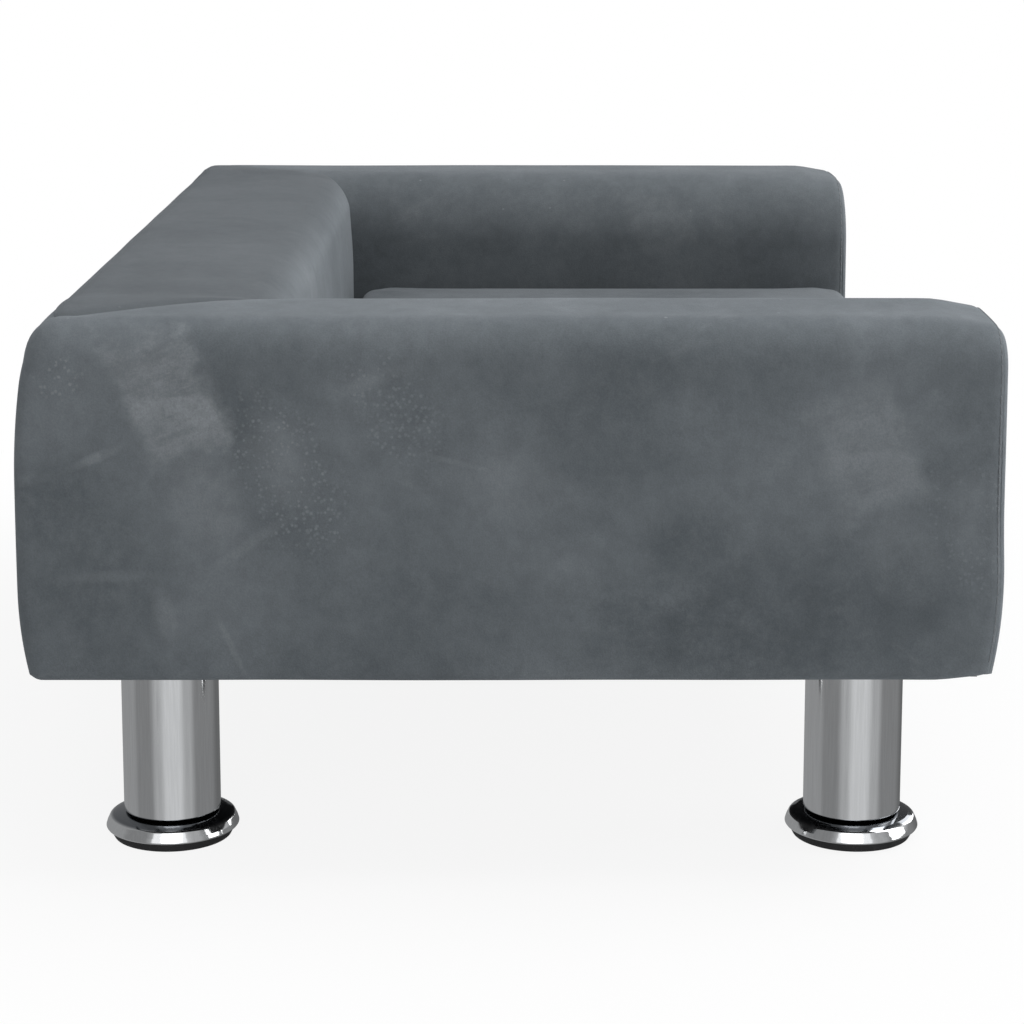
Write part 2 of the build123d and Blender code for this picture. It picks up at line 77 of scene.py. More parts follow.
# Lines of the arms' fronts and of the rear, with heights as shares of the padding's height
front_line = 2.8 * MM
front_belly, belly_middle, belly_spread = 1.0 * MM, 0.27, 0.12
front_tuck, front_tuck_height = 3.5 * MM, 0.2
front_dip, front_dip_reach = 3.8 * MM, 30 * MM
front_rise, corner_rise, corner_reach = 0.9 * MM, 1.6 * MM, 11 * MM
hem_lift_front, hem_lift_rear = 0.4 * MM, 2 * MM
rear_line = 1.0 * MM
rear_tuck, rear_tuck_height = 4.5 * MM, 0.25
rear_lean, rear_lean_from, rear_lean_height = 4.6 * MM, 0.55, 0.33
back_lean, back_fall, back_soft_reach = 3 * MM, 3 * MM, 60 * MM
BACK_FALL_POWER = 1.3

# The crease where the back's cover reaches over the arms' tops, and the arms' fit against the seat
crease_reach, crease_sweep = 38 * MM, 63 * MM
crease_start, crease_end = 120 * MM, 214 * MM
CREASE_POWER = 1.2
crease_dent, dent_outside, dent_inside = 0.8 * MM, 3 * MM, 6 * MM
crease_lift, crease_sink, crease_ramp = 0.8 * MM, 1.8 * MM, 14 * MM
crease_from, crease_full = 4.5 * MM, 1.2 * MM
seam_overlap = 1.0 * MM
seat_fit, seat_press = 0.2 * MM, 10 * MM

# Front seams of the arms; the places are shares of the seam's spread from its middle
seam_inset, seam_depth, seam_spread = 2.7 * MM, 0.25 * MM, 1.0 * MM
SEAM_EDGE, SEAM_CLEAR, STITCH_ROW = 0.05, 2.3, 1.3
SEAM_PLACES = (SEAM_EDGE, 0.35, 0.7, 1.1, 1.6)
stitch_length, stitch_pitch, stitch_radius = 3.3 * MM, 4.6 * MM, 0.34 * MM
stitch_proud, stitch_margin = 0.15 * MM, 6 * MM

# Points along half a quarter rounding, and along the straight parts of a padded section
ROUND_STEPS = 6
ACROSS_STEPS = 14
UP_STEPS = 26
SECTION_COLUMNS = 2 * ROUND_STEPS + ACROSS_STEPS
SECTION_ROWS = 2 * ROUND_STEPS + UP_STEPS
SPAN_STEP = 6 * MM


# Mesh building

def add_object(name, data):
    """A new object in the scene for a mesh, a lamp or a camera."""
    made = bpy.data.objects.new(name, data)
    bpy.context.scene.collection.objects.link(made)
    return made


def make_object(name, points, faces, smooth=True):
    """A mesh object from points and faces."""
    mesh = bpy.data.meshes.new(name)
    mesh.from_pydata([tuple(p) for p in points], [], faces)
    mesh.validate()
    mesh.update()
    if smooth:
        mesh.polygons.foreach_set("use_smooth", [True] * len(mesh.polygons))
    return add_object(name, mesh)


def join_rings(faces, rings, count, first=0, flip=False, around=False):
    """Add the faces between a row of rings of points, and from the last to the first if it goes around."""
    for s in range(rings if around else rings - 1):
        a, b = first + s * count, first + (s + 1) % rings * count
        for i in range(count):
            j = (i + 1) % count
            face = [a + i, a + j, b + j, b + i]
            faces.append(face[::-1] if flip else face)


def add_bar(points, faces, rings):
    """Add a bar through a row of rings, with flat ends."""
    first, count = len(points), len(rings[0])
    last = first + (len(rings) - 1) * count
    points.extend(tuple(p) for ring in rings for p in ring)
    join_rings(faces, len(rings), count, first)
    faces.append([first + i for i in range(count)][::-1])
    faces.append([last + i for i in range(count)])


def closed_sheet(name, rings):
    """A sheet through a row of rings, each with one side of the sheet and then the other side backwards."""
    count = len(rings[0])
    last = (len(rings) - 1) * count
    faces = []
    join_rings(faces, len(rings), count, flip=True)
    for i in range(count // 2 - 1):
        quad = [i, i + 1, count - 2 - i, count - 1 - i]
        faces.append(quad)
        faces.append([last + k for k in quad[::-1]])
    return make_object(name, [p for ring in rings for p in ring], faces)


def arc_points(centre, radius, start, end, steps):
    """Points along an arc in a plane, angles in degrees, without the last one."""
    angles = np.radians(np.linspace(start, end, steps, endpoint=False))
    return np.stack([centre[0] + radius * np.cos(angles), centre[1] + radius * np.sin(angles)], 1)


def line_points(start, end, steps):
    """Points along a straight line in a plane, without the last one."""
    share = np.linspace(0, 1, steps, endpoint=False)[:, None]
    return np.array(start) * (1 - share) + np.array(end) * share


def quarter_turn(radius, steps):
    """A quarter rounding from a straight part on, as pairs: how far along it reaches and how far in."""
    angles = np.radians(np.linspace(0, 90, steps))
    return [(radius * math.sin(a), radius * (1 - math.cos(a))) for a in angles]


def box_ring(low, high, radii, across, up):
    """A rectangle with four roundings as one ring, from the middle of its lower left rounding.

    The radii are lower left, lower right, upper right and upper left. The ring has four sides, each from
    the middle of one rounding to the middle of the next, so that a grid can close it.
    """
    (left, bottom), (right, top) = low, high
    r0, r1, r2, r3 = radii
    c0, c1 = (left + r0, bottom + r0), (right - r1, bottom + r1)
    c2, c3 = (right - r2, top - r2), (left + r3, top - r3)
    k = ROUND_STEPS
    return np.concatenate([
        arc_points(c0, r0, 225, 270, k), line_points((c0[0], bottom), (c1[0], bottom), across),
        arc_points(c1, r1, 270, 360, 2 * k), line_points((right, c1[1]), (right, c2[1]), up),
        arc_points(c2, r2, 0, 90, 2 * k), line_points((c2[0], top), (c3[0], top), across),
        arc_points(c3, r3, 90, 180, 2 * k), line_points((left, c3[1]), (left, c0[1]), up),
        arc_points(c0, r0, 180, 225, k),
    ])


def cap(points, faces, start, columns, rows, flip, bulge):
    """Close a four-sided ring of the points with a Coons patch, bulged by a vector at its middle."""
    i, j = np.arange(columns + 1), np.arange(rows + 1)
    count = 2 * (columns + rows)
    index = np.zeros((columns + 1, rows + 1), int)
    index[:, 0], index[:, rows] = i, 2 * columns + rows - i
    index[0], index[columns] = (count - j) % count, columns + j
    ring = np.array(points[start:start + count])
    bottom, top = ring[index[:, 0]], ring[index[:, rows]]
    left, right = ring[index[0]], ring[index[columns]]
    u, v = np.linspace(0, 1, columns + 1)[:, None, None], np.linspace(0, 1, rows + 1)[None, :, None]
    ruled = (1 - v) * bottom[:, None] + v * top[:, None] + (1 - u) * left[None] + u * right[None]
    corners = (1 - u) * (1 - v) * bottom[0] + u * (1 - v) * bottom[-1]
    corners = corners + (1 - u) * v * top[0] + u * v * top[-1]
    a, b = 2 * i[:, None, None] / columns - 1, 2 * j[None, :, None] / rows - 1
    grid = ruled - corners + np.array(bulge) * (1 - a * a) * (1 - b * b)
    index += start
    inside = index[1:-1, 1:-1]
    inside[:] = len(points) + np.arange(inside.size).reshape(inside.shape)
    points.extend(grid[1:-1, 1:-1].reshape(-1, 3))
    for quad in zip(index[:-1, :-1].flat, index[1:, :-1].flat, index[1:, 1:].flat, index[:-1, 1:].flat):
        faces.append([int(k) for k in (quad[::-1] if flip else quad)])


def loft(name, rings, columns, rows, flip=False, bulge_start=(0, 0, 0), bulge_end=(0, 0, 0)):
    """A closed piece through a row of rings that all have four sides of the same counts."""
    count = len(rings[0])
    points = [p for ring in rings for p in ring]
    faces = []
    join_rings(faces, len(rings), count, flip=flip)
    cap(points, faces, 0, columns, rows, not flip, bulge_start)
    cap(points, faces, (len(rings) - 1) * count, columns, rows, flip, bulge_end)
    return make_object(name, points, faces)


def round_corners(corners, steps=6):
    """A closed outline from corners (across, up, radius), rounded as far as their sides allow."""
    most_of_side = 0.49
    outline = []
    for i, (x, y, radius) in enumerate(corners):
        here = np.array((x, y))
        if radius <= 0:
            outline.append(here)
            continue
        before = np.array(corners[i - 1][:2]) - here
        after = np.array(corners[(i + 1) % len(corners)][:2]) - here
        side_before, side_after = np.linalg.norm(before), np.linalg.norm(after)
        to_before, to_after = before / side_before, after / side_after
        half = math.acos(float(np.clip(to_before @ to_after, -1, 1))) / 2
        reach = min(radius / math.tan(half), most_of_side * side_before, most_of_side * side_after)
        start, end = here + to_before * reach, here + to_after * reach
        for t in np.arange(steps + 1) / steps:
            outline.append((1 - t) ** 2 * start + 2 * t * (1 - t) * here + t * t * end)
    return np.array(outline)


def rounded_box(low, high, radius, steps=6):
    """A closed outline of a rectangle with equal roundings."""
    corners = (low[0], low[1]), (high[0], low[1]), (high[0], high[1]), (low[0], high[1])
    return round_corners([(x, y, radius) for x, y in corners], steps)


def lathe(name, outline, centre, segments=96):
    """A closed outline of (radius, height) turned about an upright axis."""
    turns = np.linspace(0, 2 * math.pi, segments, endpoint=False)
    points = [(centre.x + r * math.cos(a), centre.y + r * math.sin(a), z) for a in turns for r, z in outline]
    faces = []
    join_rings(faces, segments, len(outline), flip=True, around=True)
    return make_object(name, points, faces)


def rod(points, faces, start, end, radius, sides=6):
    """Add a short round-ended bar between two points."""
    tip_size, tip_out, tip_in = 0.35, 0.8, 0.4
    start, end = Vector(start), Vector(end)
    along = (end - start).normalized()
    across = along.orthogonal().normalized()
    other = along.cross(across)
    turns = [2 * math.pi * i / sides for i in range(sides)]
    around = [(across * math.cos(a) + other * math.sin(a)) * radius for a in turns]
    rings = [(start, tip_size, -tip_out), (start, 1, tip_in), (end, 1, -tip_in), (end, tip_size, tip_out)]
    add_bar(points, faces, [
        [centre + along * push * radius + out * size for out in around] for centre, size, push in rings
    ])


def smooth_step(value, low, high):
    """0 below low, 1 above high, and a smooth rise between them."""
    t = np.clip((value - low) / (high - low), 0, 1)
    return t * t * (3 - 2 * t)


def ripple(piece, amount, size, seed):
    """Move the points of a cover along their normals by a soft, even unevenness."""
    mesh = piece.data
    shift = Vector((3.7, 1.9, 5.3)) * seed
    normals = [v.normal.copy() for v in mesh.vertices]
    for vertex, normal in zip(mesh.vertices, normals):
        vertex.co += normal * amount * noise.noise(vertex.co / size + shift)
    mesh.update()


def mirrored(piece, name):
    """A copy of a right-hand piece for the left side."""
    mesh = piece.data.copy()
    mesh.name = name
    for vertex in mesh.vertices:
        vertex.co.x = -vertex.co.x
    mesh.flip_normals()
    mesh.update()
    return add_object(name, mesh)


# Shapes of the padded parts

def up_share(z):
    """How far up the padding a height is, from 0 at its bottom to 1 at its top."""
    return np.clip((z - pad_bottom) / pad_height, 0, 1)


def front_line_at(x, z):
    """How far an arm's front lies behind the front edge at a place and height."""
    s = up_share(z)
    belly = front_belly * np.exp(-(((s - belly_middle) / belly_spread) ** 2))
    outward = smooth_step(x, arm_inner, arm_outer - outer_round)
    return front_line - belly + outward * front_tuck * np.clip(1 - s / front_tuck_height, 0, 1) ** 2


def rear_line_at(z):
    """How far the rear of the arms and the back lies in front of the rear edge at a height."""
    s = up_share(z)
    lean = rear_lean * np.clip((s - rear_lean_from) / rear_lean_height, 0, 1) ** 2
    return rear_line + lean + rear_tuck * np.clip(1 - s / rear_tuck_height, 0, 1) ** 2


def fullness(across, low, high, amount):
    """The bow of a padded face between two edges."""
    t = np.clip((across - low) / (high - low), 0, 1) * 2 - 1
    return amount * (1 - t * t)


def crease_at(y):
    """How far past an arm's inner face the back's cover reaches over its top: further towards the rear."""
    swept = crease_sweep * np.clip((y - crease_start) / (crease_end - crease_start), 0, 1) ** CREASE_POWER
    return np.minimum(crease_reach + swept, arm_outer - arm_inner - outer_round)


def section(low, high, rounds, inset):
    """A padded cross-section whose roundings are taken in by a distance: its points across and up."""
    radii = [max(r - inset, least_round) for r in rounds]
    return box_ring(low, high, radii, ACROSS_STEPS, UP_STEPS).T.copy()


def arm_ring(y, inset, drop):
    """One cross-section of the right arm, taken in by a distance and lowered at the top."""
    hem_lift = hem_lift_front if y < 0 else hem_lift_rear
    low = (arm_inner + side_fullness + inset, pad_bottom + min(inset, hem_lift))
    high = (arm_outer - side_fullness - inset, pad_top - top_fullness - max(drop, inset))
    x, z = section(low, high, (hem_round, hem_round, outer_round, inner_round), inset)
    middle = (low[0] + high[0]) / 2
    side = np.clip((x - middle) / (high[0] - middle), -1, 1)
    x += np.sign(side) * np.abs(side) ** FACE_POWER * fullness(z, low[1], high[1], side_fullness)
    beside_seat = 1 - smooth_step(z, apron_high.z - 2 * seat_press, apron_high.z)
    x += np.clip(-side, 0, 1) ** FACE_POWER * beside_seat * (arm_inner + seat_fit - x)
    upper = smooth_step(z, high[1] - inner_round, high[1])
    z += upper * fullness(x, low[0], high[0], top_fullness)
    under_back = smooth_step(y, back_front, back_front + back_round)
    sunk = smooth_step(crease_at(y) - x + arm_inner, -dent_outside, dent_inside)
    z -= crease_dent * upper * under_back * sunk
    near_front = smooth_step(-y, -front_edge - front_dip_reach, -front_edge)
    corner = smooth_step(x, arm_outer - corner_reach, arm_outer - 0.25 * corner_reach)
    hem_rise = (front_rise + corner_rise * corner) * (1 - up_share(z)) ** FACE_POWER
    z += near_front * (hem_rise - front_dip * up_share(z))
    share = (y - front_edge) / (rear_edge - front_edge)
    y = y + (1 - share) * front_line_at(x, z) - share * rear_line_at(z)
    return np.stack([x, y, z], 1)


def front_inset(y):
    """How far an arm's section is taken in near its front: the front rounding and the groove of its seam."""
    deep = max(front_round - (y - front_edge), 0)
    groove = seam_depth * math.exp(-(((y - front_edge - seam_inset) / seam_spread) ** 2))
    return front_round - math.sqrt(front_round ** 2 - deep ** 2) + groove


def arm_stations():
    """Cross-section places of the arm's wrapped cover, from its front seam to its rear."""
    seam = front_edge + seam_inset
    start, end = front_edge + front_round + seam_spread, rear_edge - rear_round
    near = [seam + share * seam_spread for share in SEAM_PLACES]
    near += list(np.linspace(seam + SEAM_CLEAR * seam_spread, start, 4, endpoint=False))
    stations = [(y, front_inset(y), 0) for y in near]
    steps = round((end - start) / SPAN_STEP)
    stations += [(y, 0, 0) for y in np.linspace(start, end, steps, endpoint=False)]
    for reach, drop in quarter_turn(rear_round, 13):
        turn = math.asin(min(max((end + reach - rear_edge + end_round) / end_round, 0), 1))
        stations.append((end + reach, end_round * (1 - math.cos(turn)), drop))
    return stations


def arm_wrap(name):
    """The cover wrapped over the right arm, from the seam behind its front facing to its rear."""
    rings = [arm_ring(*station) for station in arm_stations()]
    return loft(name, rings, SECTION_COLUMNS, SECTION_ROWS, flip=True, bulge_end=(0, end_bulge, 0))


def arm_facing(name):
    """The front facing of the right arm: its front face and the short return to the seam."""
    last = math.asin(1 - (seam_inset - SEAM_EDGE * seam_spread) / front_round)
    places = [front_edge + front_round * (1 - math.sin(a)) for a in np.linspace(math.pi / 2, last, 14)]
    rings = [arm_ring(y, front_inset(y), 0) for y in places]
    return loft(name, rings, SECTION_COLUMNS, SECTION_ROWS, flip=True, bulge_start=(0, -end_bulge, 0))


def seam_stitches(name):
    """The row of stitches beside the front seam of the right arm, over its outer face, top and inner face."""
    row = front_edge + seam_inset + STITCH_ROW * seam_spread
    path = arm_ring(row, front_inset(row) - stitch_proud, 0)[SECTION_COLUMNS:]
    lengths = np.concatenate([[0], np.cumsum(np.linalg.norm(np.diff(path, axis=0), axis=1))])
    points, faces = [], []
    for start in np.arange(stitch_margin, lengths[-1] - stitch_margin, stitch_pitch):
        ends = [
            [np.interp(start + step, lengths, path[:, axis]) for axis in range(3)]
            for step in (0, stitch_length)
        ]
        rod(points, faces, *ends, stitch_radius)
    return make_object(name, points, faces)


def arm_face_at(z):
    """How far past its inner plane an arm's inner face lies at a height, over its inner rounding."""
    rise = np.clip(z - (pad_top - top_fullness - inner_round), 0, inner_round)
    return inner_round - np.sqrt(inner_round ** 2 - rise ** 2)


def back_ring(x, inset):
    """One cross-section of the back, taken in by a distance; its ends follow the arms' rounding."""
    low = (back_front + side_fullness + inset, pad_bottom + inset)
    high = (rear_edge - inset, pad_top - top_fullness - inset)
    y, level = section(low, high, (hem_round, hem_round, rear_round, back_round), inset)
    across = np.clip((y - low[0]) / (high[0] - low[0]), 0, 1)
    lean = back_lean * np.clip(1 - (high[1] - level) / back_soft_reach, 0, 1) ** 2
    bow = (1 - across) ** FACE_POWER * fullness(level, low[1], high[1], side_fullness)
    y += (1 - across) ** 2 * lean - bow
    top = smooth_step(level, high[1] - rear_round, high[1])
    fall = back_fall * np.clip(1 - (y - low[0]) / back_soft_reach, 0, 1) ** BACK_FALL_POWER
    soft = smooth_step(level, high[1] - back_soft_reach, high[1] - 0.25 * back_soft_reach)
    z = level + top * fullness(y, low[0], high[0], top_fullness) - soft * fall
    y -= across * rear_line_at(z)
    over_arm = smooth_step(z, pad_top - crease_from, pad_top - crease_full)
    reach = arm_face_at(z + crease_dent) + seam_overlap
    reach += over_arm * (crease_at(y) - reach)
    place = abs(x) + smooth_step(abs(x), 0.5 * arm_inner, arm_inner) * reach
    past = place - arm_inner
    on_arm = top * smooth_step(past, 0.6 * inner_round, 1.1 * inner_round)
    inside = reach - past
    lift = crease_lift * smooth_step(inside, 0, crease_ramp)
    lift -= crease_sink * (1 - smooth_step(inside, 0, 0.5 * crease_ramp))
    arm_top = fullness(place, arm_inner + side_fullness, arm_outer - side_fullness, top_fullness)
    z += on_arm * (level + top * arm_top + lift - z)
    return np.stack([math.copysign(1, x) * place, y, z], 1)


def back_stations():
    """Cross-section places of the back from its left end to its right end."""
    straight = arm_inner - crease_round
    ends = [(straight + reach, inset) for reach, inset in quarter_turn(crease_round, 7)]
    middle = np.linspace(-straight, straight, round(2 * straight / SPAN_STEP) + 1)[1:-1]
    return [(-x, inset) for x, inset in ends[::-1]] + [(x, 0) for x in middle] + ends


def back_pad(name):
    """The cover over the back, rolled in at both ends where it meets the arms."""
    return loft(name, [back_ring(*station) for station in back_stations()], SECTION_COLUMNS, SECTION_ROWS)


def apron_sheet(name):
    """The sheet from the hem under the frame over the seat front and the deck, and its flat size."""
    thick, hem, gap = 1.2 * MM, 25 * MM, 0.2 * MM
    hem_bend, top_bend = 2.5 * MM, 7.5 * MM
    puff, end_puff = 1.4 * MM, 0.4
    front, bottom, top = apron_low.y + gap, apron_low.z, apron_high.z
    outline = round_corners([
        (front + hem, bottom, 0), (front, bottom, hem_bend), (front, top, top_bend), (apron_high.y, top, 0),
    ], steps=8)
    run = [outline[0]]
    for a, b in zip(outline[:-1], outline[1:]):
        steps = max(1, round(np.linalg.norm(b - a) / (2 * SPAN_STEP)))
        run += [a + (b - a) * k / steps for k in range(1, steps + 1)]
    run = np.array(run)
    along = np.gradient(run, axis=0)
    along /= np.linalg.norm(along, axis=1)[:, None]
    inside = run + np.stack([along[:, 1], -along[:, 0]], 1) * thick
    y, z = np.concatenate([run, inside[::-1]]).T
    full = np.where(y < front + hem, np.sin(math.pi * np.clip((z - bottom) / (top - bottom), 0, 1)), 0)
    width = apron_high.x - apron_low.x
    rings = []
    for x in np.linspace(apron_low.x, apron_high.x, 61):
        bow = 1 - (2 * x / width) ** 2
        out = puff * full * (end_puff + (1 - end_puff) * bow)
        rings.append(np.stack([np.full_like(y, x), y - out, z], 1))
    length = float(np.linalg.norm(np.diff(run, axis=0), axis=1).sum())
    return closed_sheet(name, rings), (width, length)


# Seat cushion

cushion_gap = 1.5 * MM
cushion_corner, cushion_least_corner = 24 * MM, 6 * MM
cushion_draw = 2.5 * MM
cushion_roll, cushion_lower_roll = 10 * MM, 7 * MM
cushion_rise, cushion_crown = 5.5 * MM, 3.5 * MM
cushion_swell, cushion_proud = 2.2 * MM, 14 * MM
cushion_front_out, cushion_rear_gap = 1 * MM, 0.4 * MM
cushion_seams = (12 * MM, 27 * MM)
cushion_groove, cushion_groove_side = 1.3 * MM, 0.15 * MM
cushion_cell = 6 * MM
CUSHION_POWER = 8
CUSHION_ACROSS = round((cushion_high.x - cushion_low.x - 2 * cushion_corner) / cushion_cell)
CUSHION_UP = round((cushion_high.y - cushion_low.y - 2 * cushion_corner) / cushion_cell)
CLOTH = {
    "quality": 6, "mass": 0.25, "tension_stiffness": 12, "compression_stiffness": 12, "shear_stiffness": 5,
    "bending_stiffness": 0.4, "use_pressure": True, "uniform_pressure_force": 4, "vertex_group_mass": "held",
    "pin_stiffness": 0.6,
}
CLOTH_FRAMES = 20


def cushion_ring(level, draw):
    """One level of the cushion: a rectangle with round corners whose sides are drawn in."""
    low = (cushion_low.x + cushion_gap + draw, cushion_low.y + cushion_gap + draw)
    high = (cushion_high.x - cushion_gap - draw, cushion_high.y - cushion_gap - draw)
    corner = max(cushion_corner - draw, cushion_least_corner)
    x, y = box_ring(low, high, [corner] * 4, CUSHION_ACROSS, CUSHION_UP).T
    middle = (low[1] + high[1]) / 2
    u = np.clip(x / high[0], -1, 1)
    v = np.clip((y - middle) / (high[1] - middle), -1, 1)
    drawn_x = x - np.sign(u) * np.abs(u) ** CUSHION_POWER * cushion_draw * (1 - v * v)
    drawn_y = y - np.sign(v) * np.abs(v) ** CUSHION_POWER * cushion_draw * (1 - u * u)
    return np.stack([drawn_x, drawn_y, np.full(len(x), level)], 1)


def cushion_levels():
    """Heights and draws of the cushion's rings, and which of them are its two seams."""
    bottom, shoulder = cushion_low.z, cushion_high.z + cushion_rise
    side_low, side_high = bottom + cushion_lower_roll, shoulder - cushion_roll
    rows = [(side_low - reach, draw) for reach, draw in quarter_turn(cushion_lower_roll, 5)[::-1]]
    rows += [(height, 0) for height in np.linspace(side_low, side_high, 9)[1:-1]]
    rows += [(side_high + reach, draw) for reach, draw in quarter_turn(cushion_roll, 8)]
    heights = np.array([height for height, _ in rows])
    return rows, [int(np.argmin(np.abs(heights - bottom - seam))) for seam in cushion_seams]


def simulate_swell(piece, held):
    """Blow the cover up with a little pressure, with its seams held, and return where its points end."""
    scene = bpy.context.scene
    piece.vertex_groups.new(name="held").add(held, 1.0, "REPLACE")
    modifier = piece.modifiers.new("swell", "CLOTH")
    for key, value in CLOTH.items():
        setattr(modifier.settings, key, value)
    modifier.settings.effector_weights.gravity = 0
    modifier.collision_settings.use_collision = False
    modifier.point_cache.frame_start = 1
    modifier.point_cache.frame_end = CLOTH_FRAMES
    for step in range(1, CLOTH_FRAMES + 1):
        scene.frame_set(step)
    shown = piece.evaluated_get(bpy.context.evaluated_depsgraph_get()).to_mesh()
    moved = np.zeros(len(shown.vertices) * 3)
    shown.vertices.foreach_get("co", moved)
    piece.modifiers.remove(modifier)
    piece.vertex_groups.clear()
    scene.frame_set(1)
    return moved.reshape(-1, 3)


def cushion_pad(name):
    """The seat cushion: a crowned cover with rolled edges, swelled by simulation between its seams."""
    rows, seams = cushion_levels()
    rings = [cushion_ring(level, draw) for level, draw in rows]
    columns, lines = CUSHION_ACROSS + 2 * ROUND_STEPS, CUSHION_UP + 2 * ROUND_STEPS
    piece = loft(name, rings, columns, lines, bulge_end=(0, 0, cushion_crown))
    mesh = piece.data
    count = len(rings[0])
    start = np.array([v.co for v in mesh.vertices])
    place = start.copy()
    held = [seam * count + i for seam in seams for i in range(count)]
    move = simulate_swell(piece, held) - start
    reach = np.linalg.norm(move, axis=1)[:, None]
    place = start + move * np.minimum(1, cushion_swell / np.maximum(reach, 1e-9))
    normals = np.array([v.normal for v in mesh.vertices])
    for seam in seams:
        for step, depth in ((0, cushion_groove), (-1, cushion_groove_side), (1, cushion_groove_side)):
            row = slice((seam + step) * count, (seam + step + 1) * count)
            place[row] -= normals[row] * depth
    above = np.maximum(place[:, 2] - cushion_high.z, 0)
    low = (cushion_low.x, cushion_low.y - cushion_front_out, cushion_low.z)
    high = (cushion_high.x, cushion_high.y - cushion_rear_gap, cushion_high.z)
    place = np.clip(place, low, high)
    place[:, 2] += cushion_proud * (1 - np.exp(-above / cushion_proud))
    mesh.vertices.foreach_set("co", place.astype(np.float32).ravel())
    mesh.update()
    smooth = piece.modifiers.new("fine", "SUBSURF")
    smooth.levels = smooth.render_levels = 1
    return piece


# Zip on the cushion's rear side

def zip_pieces():
    """The zip's tape and its coil."""
    low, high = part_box("cushion_zip")
    middle = (low.z + high.z) / 2
    tape_thick, tape_edge = 0.6 * MM, 0.2 * MM
    profile = rounded_box((high.y - tape_thick, low.z), (high.y, high.z), tape_edge, steps=3)
    points, faces = [], []
    add_bar(points, faces, [[(x, y, z) for y, z in profile] for x in np.linspace(low.x, high.x, 81)])
    tape = make_object("cushion_zip_tape", points, faces, smooth=False)
    points, faces = [], []
    margin, pitch, half_tooth, tooth = 4 * MM, 1.6 * MM, 1.7 * MM, 0.32 * MM
    lean, stagger, level = 0.5 * MM, 0.4 * MM, high.y - 0.1 * MM
    for number, x in enumerate(np.arange(low.x + margin, high.x - margin, pitch / 2)):
        row = middle + (-stagger if number % 2 else stagger)
        rod(points, faces, (x, level, row - half_tooth), (x + lean, level, row + half_tooth), tooth)
    return tape, make_object("cushion_zip_coil", points, faces)


def slab(points, faces, outline, y_low, y_high, edge):
    """Add an outline of (x, z) as a plate with softened edges between two depths."""
    middle = outline.mean(axis=0)
    shrink = 1 - edge / np.abs(outline - middle).max()
    layers = [(y_low, shrink), (y_low + edge, 1), (y_high - edge, 1), (y_high, shrink)]
    add_bar(points, faces, [[(x, y, z) for x, z in middle + (outline - middle) * size] for y, size in layers])


def zip_slider_piece():
    """The slider: a waisted body with rounded edges, a bridge and a pull tab."""
    low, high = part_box("zip_slider")
    centre, half = (low.x + high.x) / 2, (high.x - low.x) / 2
    half_body = 3.25 * MM
    middle = high.z - half_body
    plate = low.y + 1.2 * MM
    nose_x, tail_z = 0.2 * half, 0.62 * half_body
    lower = [
        (centre - half, middle - tail_z, 0.8 * MM), (centre - nose_x, middle - half_body, 1.5 * MM),
        (centre + half, middle - half_body, 1.2 * MM),
    ]
    upper = [(x, 2 * middle - z, radius) for x, z, radius in lower[::-1]]
    bridge_x, bridge_z, bridge_edge, bridge_sunk = 0.55 * half, 0.9 * MM, 0.5 * MM, 0.2 * MM
    tab_thick, tab_gap, tab_over = 0.8 * MM, 0.05 * MM, 2 * MM
    tab_foot, tab_head = 2 * MM, 1.4 * MM
    bridge = rounded_box(
        (centre - bridge_x, middle - bridge_z), (centre + bridge_x, middle + bridge_z), bridge_edge
    )
    tab = round_corners([
        (centre - tab_foot, low.z, 1.8 * MM), (centre + tab_foot, low.z, 1.8 * MM),
        (centre + tab_head, middle + tab_over, 1.0 * MM), (centre - tab_head, middle + tab_over, 1.0 * MM),
    ])
    points, faces = [], []
    slab(points, faces, round_corners(lower + upper), low.y, plate, 0.3 * MM)
    slab(points, faces, bridge, plate - bridge_sunk, high.y - tab_thick - tab_gap, 0.2 * MM)
    slab(points, faces, tab, high.y - tab_thick, high.y, 0.2 * MM)
    return make_object("zip_slider_body", points, faces)


# Legs and feet

def round_part(part):
    """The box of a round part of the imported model: its low and high ends, its centre and its radius."""
    low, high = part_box(part)
    return low, high, (low + high) / 2, (high.x - low.x) / 2


def leg_tube(name, corner):
    """A chrome tube with softened ends."""
    low, high, centre, outer = round_part(f"{corner}_leg_tube")
    inner = outer - 1.5 * MM
    outline = round_corners([
        (inner, low.z, 0.3 * MM), (outer, low.z, 0.6 * MM),
        (outer, high.z, 0.3 * MM), (inner, high.z, 0.3 * MM),
    ])
    return lathe(name, outline, centre, segments=128)


def foot_saucer(name, corner):
    """The chrome saucer of a levelling foot: tapered band, rolled edge, domed top and neck."""
    low, high, centre, widest = round_part(f"{corner}_foot_saucer")
    base, neck_top = low.z, high.z
    bore, neck, inner_rim = 4.1 * MM, 11 * MM, 25.3 * MM
    under, band_top, dome_top = base + 3.5 * MM, base + 5.6 * MM, base + 7.6 * MM
    outline = round_corners([
        (bore, neck_top, 0.2 * MM), (bore, under, 0.2 * MM), (inner_rim, under, 0.6 * MM),
        (inner_rim, base, 0.3 * MM), (widest - 0.5 * MM, base, 0.3 * MM), (widest, base + 0.7 * MM, 0.6 * MM),
        (widest - 0.6 * MM, base + 2.6 * MM, 4.0 * MM), (widest - 2.0 * MM, band_top, 1.5 * MM),
        (widest - 5.0 * MM, band_top + 1.0 * MM, 3.0 * MM), (widest - 9.5 * MM, dome_top, 5.0 * MM),
        (neck, dome_top, 0.4 * MM), (neck, neck_top, 0.3 * MM),
    ])
    return lathe(name, outline, centre, segments=160)


